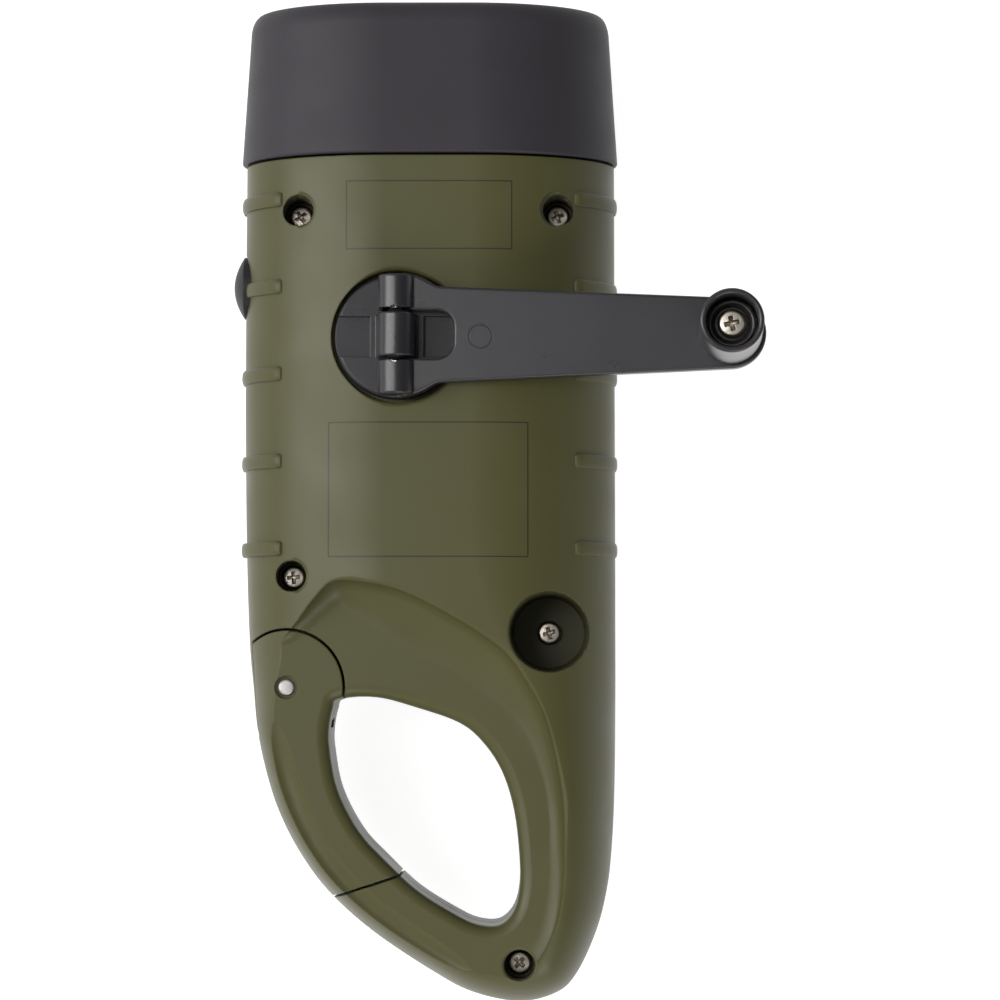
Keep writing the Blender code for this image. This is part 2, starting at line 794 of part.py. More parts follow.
def screw_cutters(name, side):
    """Head bores in the rear half (side 1) and pilot holes in the front half (side -1)."""
    made = []
    places = [(x, y, SCREW_SEAT_Z, SCREW_LENGTH) for x, y in CASE_SCREWS]
    places.append((DOCK_X, DOCK_Y, DOCK_FLOOR_Z, DOCK_SCREW_LENGTH))
    for index, (x, y, seat, length) in enumerate(places):
        hole_radius = SCREW_SHANK_RADIUS + RUNNING_GAP
        made.append(
            cylinder(
                f"{name}_{index}_hole", hole_radius, seat - length - GAP, seat + OVERRUN, x, y,
                segments=HOLE_SIDES, cutter=True,
            )
        )
        if side > 0 and index < len(CASE_SCREWS):
            made.append(
                cylinder(
                    f"{name}_{index}_bore", SCREW_BORE_RADIUS, seat, THICKNESS + OVERRUN, x, y,
                    segments=BORE_SIDES, cutter=True,
                )
            )
    return made


def cavity_cutters(name):
    """The hollow in the grip and the neck, with the bosses that stay left out of it."""
    grip = prism_along_y(
        f"{name}_grip",
        full_section(WALL),
        CAVITY_TAIL_Y,
        GRIP_LENGTH - WALL,
        cutter=True,
    )
    neck = prism_along_y(
        f"{name}_neck",
        full_section(NECK_INSET + NECK_WALL),
        GRIP_LENGTH - WALL - OVERRUN,
        NECK_TOP_Y + OVERRUN,
        cutter=True,
    )
    boss_radius = SCREW_BORE_RADIUS + SCREW_BOSS_WALL
    for index, (x, y) in enumerate(CASE_SCREWS[:3]):
        keep = cylinder(
            f"{name}_boss_{index}", boss_radius, -OVERRUN, THICKNESS + OVERRUN, x, y, cutter=True
        )
        cut(grip, keep)
    return grip, neck


def neck_form(name, side):
    """The half of the neck that carries the bumper, as one half of a section along Y."""
    half = section(NECK_INSET)
    points = [(x, side * max(z, PARTING_GAP / 2)) for x, z in half]
    return prism_along_y(name, points, GRIP_LENGTH - OVERRUN, NECK_TOP_Y, cutter=True)


def button_cutters(name):
    """The button's hole through the side wall and the pocket of its flange."""
    turn = Matrix.Translation((0, BUTTON_Y, MID_Z)) @ Matrix.Rotation(-math.pi / 2, 4, "Y")
    outside = HALF_WIDTH + OVERRUN
    hole = cylinder(
        f"{name}_hole", BUTTON_RADIUS + GAP, HALF_WIDTH - WALL - OVERRUN, outside, 0, 0, cutter=True
    )
    flange_radius = BUTTON_RADIUS + BUTTON_FLANGE_WIDTH + GAP
    pocket_floor = -BUTTON_FLANGE_X + GAP / 2
    pocket = cylinder(
        f"{name}_pocket", flange_radius, pocket_floor - 2 * OVERRUN, pocket_floor, 0, 0, cutter=True
    )
    for cutter in (hole, pocket):
        cutter.data.transform(turn)
    return hole, pocket


def cut_tail(target, side):
    """The scoop, the eye and the gate's room, with the tongue kept for the gate's pin."""
    name = target.name
    half_tongue = TONGUE_HEIGHT / 2
    room = plate(
        f"{name}_gate_room", gate_outline(GATE_GAP), -OVERRUN, THICKNESS + OVERRUN, cutter=True
    )
    tongue = plate(
        f"{name}_tongue", tongue_outline(), MID_Z - half_tongue, MID_Z + half_tongue, cutter=True
    )
    cut(room, tongue)
    pin_hole = cylinder(
        f"{name}_pin_hole",
        GATE_PIN_RADIUS + RUNNING_GAP,
        MID_Z - HALF_THICKNESS,
        MID_Z + HALF_THICKNESS,
        PIN_X,
        PIN_Y,
        segments=PIN_SIDES,
        cutter=True,
    )
    cut(target, scoop_cutter(f"{name}_scoop", side), eye_cutter(f"{name}_eye"), room, pin_hole)


def make_rear_shell():
    shell = case_form("rear_shell", 0, SECTION_STEPS)
    cut_tail(shell, 1)
    join(shell, neck_form("rear_neck", 1))
    grip, neck = cavity_cutters("rear_cavity")
    hub_boss = cylinder(
        "rear_hub_boss", HUB_BOSS_RADIUS, HUB_BOSS_Z, THICKNESS + OVERRUN, HUB_X, HUB_Y,
        segments=WELL_SIDES, cutter=True,
    )
    cut(grip, hub_boss)
    for index, (x, y) in enumerate(idler_places()):
        boss = cylinder(
            f"rear_axle_boss_{index}", AXLE_BOSS_RADIUS, AXLE_BOSS_Z, THICKNESS + OVERRUN, x, y,
            segments=PIN_SIDES, cutter=True,
        )
        cut(grip, boss)
    cut(shell, grip, neck)
    join(shell, rib_forms("rear_ribs", 1))
    cup_radius = DOCK_FLOOR_RADIUS + DOCK_WALL
    join(
        shell,
        cylinder(
            "rear_dock_cup", cup_radius, CUP_BOTTOM_Z, MID_Z + OVERRUN, DOCK_X, DOCK_Y, cutter=True
        ),
    )
    dock_top = THICKNESS + OVERRUN
    dock = cylinder(
        "rear_dock", DOCK_FLOOR_RADIUS, DOCK_FLOOR_Z, dock_top, DOCK_X, DOCK_Y,
        top_radius=DOCK_RIM_RADIUS, cutter=True,
    )
    well = cylinder(
        "rear_well", HUB_RADIUS + HUB_GAP, WELL_Z, dock_top, HUB_X, HUB_Y,
        segments=WELL_SIDES, cutter=True,
    )
    bush_radius = SHAFT_RADIUS + RUNNING_GAP + BUSH_WALL + RUNNING_GAP
    bush_hole = cylinder(
        "rear_bush_hole", bush_radius, HUB_BOSS_Z - OVERRUN, dock_top, HUB_X, HUB_Y, cutter=True
    )
    cut(shell, dock, well, bush_hole, *button_cutters("rear_button"))
    cut(shell, *screw_cutters("rear_screw", 1))
    for index, (x, y) in enumerate(idler_places()):
        seat = cylinder(
            f"rear_axle_seat_{index}", AXLE_RADIUS + RUNNING_GAP, AXLE_BOSS_Z - OVERRUN,
            AXLE_BOSS_Z + AXLE_SEAT_DEPTH, x, y, segments=HOLE_SIDES, cutter=True,
        )
        cut(shell, seat)
    spring_pocket = cylinder(
        "rear_spring_pocket", SPRING_POCKET_RADIUS, MID_Z - OVERRUN,
        MID_Z + PARTING_GAP / 2 + SPRING_POCKET_DEPTH, PIN_X, PIN_Y,
        segments=BORE_SIDES, cutter=True,
    )
    cut(shell, spring_pocket)
    return finish_part(shell, "olive")


def make_front_shell():
    shell = case_form("front_shell", -SECTION_STEPS, 0)
    cut_tail(shell, -1)
    join(shell, neck_form("front_neck", -1))
    plinth = plate(
        "front_plinth",
        rounded_rectangle(0, PANEL_Y, PANEL_WIDTH, PANEL_LENGTH, PANEL_CORNER),
        0,
        BED_Z,
        cutter=True,
    )
    join(shell, plinth)
    grip, neck = cavity_cutters("front_cavity")
    bed = box(
        "front_bed",
        (-PANEL_WIDTH / 2, PANEL_Y - PANEL_LENGTH / 2, -OVERRUN),
        (PANEL_WIDTH / 2, PANEL_Y + PANEL_LENGTH / 2, BED_Z),
        cutter=True,
    )
    shelf = box(
        "front_switch_shelf",
        (SWITCH_X, BUTTON_Y - SWITCH_BOARD_WIDTH / 2, -OVERRUN),
        (
            SWITCH_X + SWITCH_DEPTH + BOARD_THICKNESS + 2 * GAP,
            BUTTON_Y + SWITCH_BOARD_WIDTH / 2,
            MID_Z - SWITCH_BOARD_HEIGHT / 2 - GAP,
        ),
        cutter=True,
    )
    cut(grip, bed, shelf)
    for index, (x, y) in enumerate(PLATE_POSTS):
        post = cylinder(
            f"front_post_{index}", PLATE_POST_RADIUS, -OVERRUN, PLATE_Z - GAP, x, y,
            segments=PIN_SIDES, cutter=True,
        )
        cut(grip, post)
    cut(shell, grip, neck)
    join(shell, rib_forms("front_ribs", -1))
    dock_room = cylinder(
        "front_dock_room", DOCK_FLOOR_RADIUS + DOCK_WALL + GAP, CUP_BOTTOM_Z - GAP, THICKNESS,
        DOCK_X, DOCK_Y, cutter=True,
    )
    pocket_width = PANEL_WIDTH - 2 * PANEL_RIM
    pocket_length = PANEL_LENGTH - 2 * PANEL_RIM
    pocket = plate(
        "front_pocket",
        rounded_rectangle(0, PANEL_Y, pocket_width, pocket_length, PANEL_CORNER / 2),
        -OVERRUN,
        BED_Z - BED_WALL,
        cutter=True,
    )
    lead_hole = cylinder(
        "front_lead_hole", LEAD_HOLE_RADIUS, -OVERRUN, BED_Z + OVERRUN, *solar_lead_place(),
        segments=HOLE_SIDES, cutter=True,
    )
    cut(shell, dock_room, pocket, lead_hole, *button_cutters("front_button"))
    cut(shell, *screw_cutters("front_screw", -1))
    for index, (x, y) in enumerate(PLATE_POSTS):
        hole = cylinder(
            f"front_post_hole_{index}", PLATE_SCREW_RADIUS + RUNNING_GAP,
            PLATE_Z + PLATE_THICKNESS - PLATE_SCREW_LENGTH - GAP, PLATE_Z + OVERRUN, x, y,
            segments=HOLE_SIDES, cutter=True,
        )
        cut(shell, hole)
    return finish_part(shell, "olive")


# Head


def bumper_station(y, inset):
    """One closed section of the bumper's outside, in space."""
    return [(x, y, MID_Z + z) for x, z in full_section(inset - BUMPER_PROUD)]


def make_bumper():
    nose_y = BUMPER_FRONT_Y - BUMPER_NOSE
    stations = [bumper_station(BUMPER_BACK_Y, 0), bumper_station(nose_y, BUMPER_TAPER)]
    for angle in (math.radians(30), math.radians(60), math.radians(90)):
        stations.append(
            bumper_station(
                nose_y + BUMPER_NOSE * math.sin(angle),
                BUMPER_TAPER + BUMPER_NOSE * (1 - math.cos(angle)) / 2,
            )
        )
    build = bmesh.new()
    bridge_rings(build, stations)
    bumper = object_from_bmesh("head_bumper", build)
    pocket = prism_along_y(
        "bumper_pocket",
        full_section(NECK_INSET - GAP),
        BUMPER_BACK_Y - OVERRUN,
        NECK_TOP_Y + LENS_THICKNESS + 2 * GAP,
        cutter=True,
    )
    mouth = prism_along_y(
        "bumper_mouth",
        full_section(NECK_INSET + BUMPER_LIP),
        NECK_TOP_Y,
        BUMPER_FRONT_Y + OVERRUN,
        cutter=True,
    )
    cut(bumper, pocket, mouth)
    return finish_part(bumper, "rubber")


def make_lens():
    low = NECK_TOP_Y + GAP
    lens = prism_along_y("lens", full_section(NECK_INSET), low, low + LENS_THICKNESS)
    return finish_part(lens, "clear")


def cup_places():
    return [(side * CUP_PITCH, MID_Z) for side in (-1, 0, 1)]


def make_reflector():
    back = NECK_TOP_Y - REFLECTOR_DEPTH
    points = full_section(NECK_INSET + NECK_WALL + GAP)
    reflector = prism_along_y("reflector", points, back, NECK_TOP_Y)
    turn = Matrix.Rotation(-math.pi / 2, 4, "X")
    for index, (x, z) in enumerate(cup_places()):
        middle = back + REFLECTOR_DEPTH / 2
        profile = (
            (0, NECK_TOP_Y + OVERRUN),
            (CUP_RADIUS, NECK_TOP_Y + OVERRUN),
            (CUP_RADIUS, NECK_TOP_Y),
            ((CUP_RADIUS + CUP_HOLE_RADIUS) / 2 + GAP, middle),
            (CUP_HOLE_RADIUS, back + WALL),
            (CUP_HOLE_RADIUS, back - OVERRUN),
            (0, back - OVERRUN),
        )
        place = Matrix.Translation((x, 0, z)) @ turn
        cup = turned(f"reflector_cup_{index}", profile, place, steps=BORE_SIDES, cutter=True)
        cut(reflector, cup)
    return finish_part(reflector, "mirror")


def make_leds():
    turn = Matrix.Rotation(-math.pi / 2, 4, "X")
    base = BOARD_Y + BOARD_THICKNESS + GAP / 2
    shoulder = LED_HEIGHT - LED_RADIUS
    profile = [(0, LED_HEIGHT)]
    for angle in (math.radians(60), math.radians(30), 0):
        profile.append(
            (LED_RADIUS * math.cos(angle), shoulder + LED_RADIUS * math.sin(angle))
        )
    profile += [
        (LED_RADIUS, LED_FLANGE_HEIGHT),
        (LED_FLANGE_RADIUS, LED_FLANGE_HEIGHT),
        (LED_FLANGE_RADIUS, 0),
        (0, 0),
    ]
    for index, (x, z) in enumerate(cup_places()):
        place = Matrix.Translation((x, base, z)) @ turn
        finish_part(turned(f"led_{index + 1}", profile, place, steps=HOLE_SIDES), "clear")


def make_led_board():
    points = full_section(NECK_INSET + NECK_WALL + GAP)
    board = prism_along_y("led_board", points, BOARD_Y, BOARD_Y + BOARD_THICKNESS)
    return finish_part(board, "board")


# Solar panel


def solar_lead_place():
    return (
        PANEL_WIDTH / 2 - PANEL_RIM - 2 * LEAD_HOLE_RADIUS,
        PANEL_Y + PANEL_LENGTH / 2 - PANEL_RIM - 2 * LEAD_HOLE_RADIUS,
    )


def make_solar_panel():
    width = PANEL_WIDTH - 2 * (PANEL_RIM + GAP)
    length = PANEL_LENGTH - 2 * (PANEL_RIM + GAP)
    points = rounded_rectangle(0, PANEL_Y, width, length, PANEL_CORNER / 2)
    finish_part(plate("solar_window", points, 0, WINDOW_THICKNESS), "clear")
    low = WINDOW_THICKNESS + GAP
    half_width = width / 2 - CELL_MARGIN
    half_length = length / 2 - CELL_MARGIN
    cell = box(
        "solar_cell",
        (-half_width, PANEL_Y - half_length, low),
        (half_width, PANEL_Y + half_length, low + CELL_THICKNESS),
    )
    finish_part(cell, "cell")


# Screws


def make_screw(name, seat, length, head_radius, head_height, shank_radius):
    """A pan-head cross-recess screw, whose head rests on its seat and faces the seat's +Z."""
    profile = (
        (0, head_height),
        (head_radius * math.cos(math.radians(50)), head_height),
        (head_radius, head_height * math.sin(math.radians(35))),
        (head_radius, 0),
        (shank_radius, 0),
        (shank_radius, -length),
        (0, -length),
    )
    place = seat @ Matrix.Translation((0, 0, GAP / 2))
    screw = turned(name, profile, place, steps=HOLE_SIDES)
    half_width, half_length = RECESS_WIDTH / 2, RECESS_LENGTH / 2
    scale = head_radius / SCREW_HEAD_RADIUS
    for index, (reach_x, reach_y) in enumerate(
        ((half_length, half_width), (half_width, half_length))
    ):
        slot = box(
            f"{name}_recess_{index}",
            (-reach_x * scale, -reach_y * scale, head_height - RECESS_DEPTH * scale),
            (reach_x * scale, reach_y * scale, head_height + OVERRUN),
            cutter=True,
        )
        slot.matrix_world = place
        cut(screw, slot)
    return finish_part(screw, "steel")


def make_case_screws():
    sizes = (SCREW_HEAD_RADIUS, SCREW_HEAD_HEIGHT, SCREW_SHANK_RADIUS)
    for index, (x, y) in enumerate(CASE_SCREWS):
        seat = Matrix.Translation((x, y, SCREW_SEAT_Z))
        make_screw(f"case_screw_{index + 1}", seat, SCREW_LENGTH, *sizes)
    seat = Matrix.Translation((DOCK_X, DOCK_Y, DOCK_FLOOR_Z))
    make_screw("dock_screw", seat, DOCK_SCREW_LENGTH, *sizes)


# Gear train


def step_from(place, distance, angle):
    return (place[0] + distance * math.cos(angle), place[1] + distance * math.sin(angle))


def centre_distance(teeth_a, teeth_b):
    return MODULE * (teeth_a + teeth_b) / 2


def idler_places():
    first = step_from(
        (HUB_X, HUB_Y), centre_distance(DRIVE_TEETH, PINION_TEETH), MESH_1_ANGLE
    )
    second = step_from(first, centre_distance(WHEEL_1_TEETH, PINION_TEETH), MESH_2_ANGLE)
    return first, second


def rotor_place():
    return step_from(
        idler_places()[1], centre_distance(WHEEL_2_TEETH, PINION_TEETH), MESH_3_ANGLE
    )


def involute(angle):
    return math.tan(angle) - angle


def gear_outline(teeth, place, tooth_angle):
    """A stub-tooth involute gear with one tooth centred on the given direction."""
    pitch_radius = MODULE * teeth / 2
    base_radius = pitch_radius * math.cos(PRESSURE_ANGLE)
    root_radius = pitch_radius - DEDENDUM_SHARE * MODULE
    tip_radius = pitch_radius + ADDENDUM_SHARE * MODULE
    pitch_half = math.pi / (2 * teeth) - BACKLASH / (4 * pitch_radius)

    def half_angle(radius):
        slope = math.acos(min(1, base_radius / radius))
        return pitch_half + involute(PRESSURE_ANGLE) - involute(slope)

    low_radius = max(base_radius, root_radius)
    flank = [(radius, half_angle(radius)) for radius in (low_radius, tip_radius)]
    if root_radius < base_radius:
        flank.insert(0, (root_radius, flank[0][1]))
    points = []
    for tooth in range(teeth):
        middle = tooth_angle + 2 * math.pi * tooth / teeth
        side = [(radius, middle - half) for radius, half in flank]
        side += [(radius, middle + half) for radius, half in reversed(flank)]
        points += [step_from(place, radius, angle) for radius, angle in side]
    return points


def gap_angle(line_angle, teeth):
    """A tooth direction that puts a gap on the line back to the gear before."""
    return line_angle + math.pi + math.pi / teeth


def make_compound_gear(name, place, low, wheel_teeth, pinion_angle, wheel_angle):
    """A wheel with its pinion above, in one moulding, bored for its axle."""
    wheel = plate(name, gear_outline(wheel_teeth, place, wheel_angle), low, low + GEAR_WIDTH)
    pinion_low = low + GEAR_WIDTH - GAP
    pinion = plate(
        f"{name}_pinion",
        gear_outline(PINION_TEETH, place, pinion_angle),
        pinion_low,
        low + GEAR_STEP + GEAR_WIDTH,
        cutter=True,
    )
    join(wheel, pinion)
    bore = cylinder(
        f"{name}_bore", AXLE_RADIUS + RUNNING_GAP, low - OVERRUN,
        low + GEAR_STEP + GEAR_WIDTH + OVERRUN, *place, segments=HOLE_SIDES, cutter=True,
    )
    cut(wheel, bore)
    return finish_part(wheel, "nylon")


def make_gear_train():
    first, second = idler_places()
    rotor = rotor_place()
    drive = plate(
        "drive_gear",
        gear_outline(DRIVE_TEETH, (HUB_X, HUB_Y), MESH_1_ANGLE),
        GEAR_1_Z,
        GEAR_1_Z + GEAR_WIDTH,
    )
    bore = cylinder(
        "drive_gear_bore", SHAFT_RADIUS + RUNNING_GAP, GEAR_1_Z - OVERRUN,
        GEAR_1_Z + GEAR_WIDTH + OVERRUN, HUB_X, HUB_Y, cutter=True,
    )
    cut(drive, bore)
    finish_part(drive, "nylon")
    make_compound_gear(
        "compound_gear_1", first, GEAR_2_Z, WHEEL_1_TEETH,
        gap_angle(MESH_1_ANGLE, PINION_TEETH), MESH_2_ANGLE,
    )
    make_compound_gear(
        "compound_gear_2", second, GEAR_3_Z, WHEEL_2_TEETH,
        gap_angle(MESH_2_ANGLE, PINION_TEETH), MESH_3_ANGLE,
    )
    for index, place in enumerate((first, second)):
        axle = cylinder(
            f"gear_axle_{index + 1}", AXLE_RADIUS, PLATE_Z,
            AXLE_BOSS_Z + AXLE_SEAT_DEPTH - GAP, *place, segments=HOLE_SIDES,
        )
        finish_part(axle, "steel")
    pinion = plate(
        "rotor_pinion",
        gear_outline(PINION_TEETH, rotor, gap_angle(MESH_3_ANGLE, PINION_TEETH)),
        GEAR_3_Z,
        GEAR_3_Z + GEAR_WIDTH,
    )
    pinion_bore = cylinder(
        "rotor_pinion_bore", ROTOR_SHAFT_RADIUS + RUNNING_GAP, GEAR_3_Z - OVERRUN,
        GEAR_3_Z + GEAR_WIDTH + OVERRUN, *rotor, segments=HOLE_SIDES, cutter=True,
    )
    cut(pinion, pinion_bore)
    finish_part(pinion, "brass")


def make_gear_plate():
    """The plate that holds the axles: the hull of a disc about each thing it carries."""
    places = [*PLATE_POSTS, *idler_places(), rotor_place()]
    build = bmesh.new()
    for x, y in places:
        for point in arc(x, y, PLATE_MARGIN, 0, 2 * math.pi, math.radians(30))[:-1]:
            for z in (PLATE_Z, PLATE_Z + PLATE_THICKNESS):
                build.verts.new((*point, z))
    hull = bmesh.ops.convex_hull(build, input=build.verts)
    loose = [item for item in hull["geom_interior"] if isinstance(item, bmesh.types.BMVert)]
    bmesh.ops.delete(build, geom=loose, context="VERTS")
    made = object_from_bmesh("gear_plate", build)
    radii = [PLATE_SCREW_RADIUS] * len(PLATE_POSTS) + [AXLE_RADIUS] * 2 + [ROTOR_SHAFT_RADIUS]
    for index, ((x, y), radius) in enumerate(zip(places, radii)):
        hole = cylinder(
            f"gear_plate_hole_{index}", radius + RUNNING_GAP, PLATE_Z - OVERRUN,
            PLATE_Z + PLATE_THICKNESS + OVERRUN, x, y, segments=HOLE_SIDES, cutter=True,
        )
        cut(made, hole)
    finish_part(made, "steel")
    sizes = (PLATE_SCREW_HEAD_RADIUS, PLATE_SCREW_HEAD_HEIGHT, PLATE_SCREW_RADIUS)
    for index, (x, y) in enumerate(PLATE_POSTS):
        seat = Matrix.Translation((x, y, PLATE_Z + PLATE_THICKNESS))
        make_screw(f"plate_screw_{index + 1}", seat, PLATE_SCREW_LENGTH, *sizes)


def make_dynamo():
    """Rotor magnet on its shaft, inside a claw core that carries the winding."""
    place = Matrix.Translation((*rotor_place(), 0))
    core_low = BED_Z + GAP
    core_high = PLATE_Z - 2 * GAP
    core_middle = (core_low + core_high) / 2
    magnet_low = core_middle - MAGNET_HEIGHT / 2
    shaft_top = GEAR_3_Z + GEAR_WIDTH + 2 * GAP
    magnet = (
        (0, shaft_top),
        (ROTOR_SHAFT_RADIUS, shaft_top),
        (ROTOR_SHAFT_RADIUS, magnet_low + MAGNET_HEIGHT),
        (MAGNET_RADIUS, magnet_low + MAGNET_HEIGHT),
        (MAGNET_RADIUS, magnet_low),
        (ROTOR_SHAFT_RADIUS, magnet_low),
        (ROTOR_SHAFT_RADIUS, core_low),
        (0, core_low),
    )
    finish_part(turned("rotor_magnet", magnet, place, steps=BORE_SIDES), "steel")
    inner = MAGNET_RADIUS + AIR_GAP
    outer = COIL_RADIUS + GAP
    core = (
        (inner, core_high),
        (outer, core_high),
        (outer, core_high - CORE_WALL),
        (inner + CORE_WALL, core_high - CORE_WALL),
        (inner + CORE_WALL, core_low + CORE_WALL),
        (outer, core_low + CORE_WALL),
        (outer, core_low),
        (inner, core_low),
    )
    finish_part(turned("stator_core", core, place, closed=True, steps=BORE_SIDES), "steel")
    coil_inner = inner + CORE_WALL + GAP
    coil = (
        (coil_inner, core_middle + COIL_HEIGHT / 2),
        (COIL_RADIUS, core_middle + COIL_HEIGHT / 2),
        (COIL_RADIUS, core_middle - COIL_HEIGHT / 2),
        (coil_inner, core_middle - COIL_HEIGHT / 2),
    )
    finish_part(turned("stator_coil", coil, place, closed=True, steps=BORE_SIDES), "copper")


# Crank


def hinge_place():
    """The hinge's own frame: X along the deployed arm, raised a little, and Z to the knob."""
    return Matrix.Translation((HUB_X, HUB_Y, HINGE_Z)) @ Matrix.Rotation(-ARM_RAISE, 4, "Y")


def barrel_outline(foot, foot_height):
    """The hinge barrel's outline in X and Z, carried down to a wider foot."""
    top = arc(0, 0, BARREL_RADIUS, 0, math.pi, math.radians(20))
    return top + [(-foot / 2, -foot_height), (foot / 2, -foot_height)]


def make_hub():
    shaft_low = GEAR_1_Z - GAP
    profile = (
        (0, HUB_TOP_Z),
        (HUB_RADIUS - GAP, HUB_TOP_Z),
        (HUB_RADIUS, HUB_TOP_Z - GAP),
        (HUB_RADIUS, WELL_Z + GAP),
        (SHAFT_RADIUS, WELL_Z + GAP),
        (SHAFT_RADIUS, shaft_low),
        (0, shaft_low),
    )
    hub = turned("crank_hub", profile, Matrix.Translation((HUB_X, HUB_Y, 0)), steps=HUB_SIDES)
    for side in (1, -1):
        ends = sorted((HUB_X + side * LUG_FOOT / 2, HUB_X + side * (HUB_RADIUS + OVERRUN)))
        channel = box(
            f"hub_channel_{side}",
            (ends[0], HUB_Y - CHANNEL_WIDTH / 2, HUB_TOP_Z - CHANNEL_DEPTH),
            (ends[1], HUB_Y + CHANNEL_WIDTH / 2, HUB_TOP_Z + OVERRUN),
            cutter=True,
        )
        cut(hub, channel)
    foot_height = HINGE_Z - HUB_TOP_Z + CHANNEL_DEPTH
    lug = prism_along_y(
        "hub_lug",
        barrel_outline(LUG_FOOT, foot_height),
        -LUG_WIDTH / 2,
        LUG_WIDTH / 2,
        z=0,
        cutter=True,
    )
    lug.data.transform(Matrix.Translation((HUB_X, HUB_Y, HINGE_Z)))
    join(hub, lug)
    pin_hole = cylinder(
        "hub_pin_hole", HINGE_PIN_RADIUS + RUNNING_GAP, -HUB_RADIUS, HUB_RADIUS, 0, 0,
        segments=PIN_SIDES, cutter=True,
    )
    turn = Matrix.Rotation(math.pi / 2, 4, "X")
    pin_hole.data.transform(Matrix.Translation((HUB_X, HUB_Y, HINGE_Z)) @ turn)
    screw_hole = cylinder(
        "hub_screw_hole", SCREW_SHANK_RADIUS + RUNNING_GAP, shaft_low - OVERRUN,
        shaft_low + DOCK_SCREW_LENGTH + GAP, HUB_X, HUB_Y, segments=HOLE_SIDES, cutter=True,
    )
    cut(hub, pin_hole, screw_hole)
    finish_part(hub, "black")
    pin_reach = HUB_RADIUS - 3 * GAP
    pin = cylinder("hinge_pin", HINGE_PIN_RADIUS, -pin_reach, pin_reach, 0, 0, segments=PIN_SIDES)
    pin.data.transform(Matrix.Translation((HUB_X, HUB_Y, HINGE_Z)) @ turn)
    finish_part(pin, "steel")
    bush_outer = SHAFT_RADIUS + RUNNING_GAP + BUSH_WALL
    bush = (
        (SHAFT_RADIUS + RUNNING_GAP, WELL_Z),
        (bush_outer, WELL_Z),
        (bush_outer, HUB_BOSS_Z),
        (SHAFT_RADIUS + RUNNING_GAP, HUB_BOSS_Z),
    )
    bush_place = Matrix.Translation((HUB_X, HUB_Y, 0))
    finish_part(turned("crank_bush", bush, bush_place, closed=True), "brass")
    seat = Matrix.Translation((HUB_X, HUB_Y, shaft_low)) @ Matrix.Rotation(math.pi, 4, "X")
    make_screw(
        "hub_screw", seat, DOCK_SCREW_LENGTH, SHAFT_RADIUS + RUNNING_GAP + GAP,
        SCREW_HEAD_HEIGHT, SCREW_SHANK_RADIUS,
    )


def arm_outline():
    """The arm's plan about the hinge: a round root, a tapering blade and a round end."""
    root_half = ARM_ROOT_WIDTH / 2
    root_turn = math.asin(root_half / HUB_RADIUS)
    right = arc(0, 0, HUB_RADIUS, math.pi / 2, root_turn + ARC_STEP)
    slope = math.atan2(root_half - ARM_END_RADIUS, ARM_REACH - ARM_ROOT_X)
    end_turn = math.pi / 2 - slope
    end = arc(ARM_REACH, 0, ARM_END_RADIUS, end_turn, -end_turn, math.radians(15))
    upper = [*right, (ARM_ROOT_X, root_half)]
    return upper + end + [(x, -y) for x, y in reversed(upper)]


def slot_outline():
    """The open slot that straddles the hub's lug, round at its far end."""
    half = ARM_SLOT_WIDTH / 2
    corner = half * math.sin(math.radians(45))
    end = arc(ARM_SLOT_REACH - corner, half - corner, corner, math.pi / 2, 0, math.radians(30))
    back = (-HUB_RADIUS, half)
    upper = [back, *end]
    return upper + [(x, -y) for x, y in reversed(upper)]


def make_arm():
    """The arm's blade, whose top lies a little above the hinge's axis, with its barrels."""
    place = hinge_place()
    post_top = ARM_RISE + POST_HEIGHT
    arm = plate("crank_arm", arm_outline(), ARM_RISE - ARM_THICKNESS, ARM_RISE)
    barrel = cylinder(
        "arm_barrel", BARREL_RADIUS, -HUB_RADIUS + GAP, HUB_RADIUS - GAP, 0, 0,
        segments=BORE_SIDES, cutter=True,
    )
    barrel.data.transform(Matrix.Rotation(math.pi / 2, 4, "X"))
    post = cylinder("arm_post", POST_RADIUS, 0, post_top, ARM_REACH, 0, cutter=True)
    slot = plate("arm_slot", slot_outline(), -HUB_RADIUS, HUB_RADIUS, cutter=True)
    pin_hole = cylinder(
        "arm_pin_hole", HINGE_PIN_RADIUS + RUNNING_GAP, -HUB_RADIUS, HUB_RADIUS, 0, 0,
        segments=PIN_SIDES, cutter=True,
    )
    pin_hole.data.transform(Matrix.Rotation(math.pi / 2, 4, "X"))
    post_hole = cylinder(
        "arm_post_hole", SCREW_SHANK_RADIUS + RUNNING_GAP,
        post_top - DOCK_SCREW_LENGTH - GAP, post_top + OVERRUN,
        ARM_REACH, 0, segments=HOLE_SIDES, cutter=True,
    )
    for item in (arm, barrel, post, slot, pin_hole, post_hole):
        item.data.transform(place)
    join(arm, barrel, post)
    cut(arm, slot, pin_hole, post_hole)
    return finish_part(arm, "black")


def knob_place():
    return hinge_place() @ Matrix.Translation((ARM_REACH, 0, KNOB_BASE_HEIGHT))


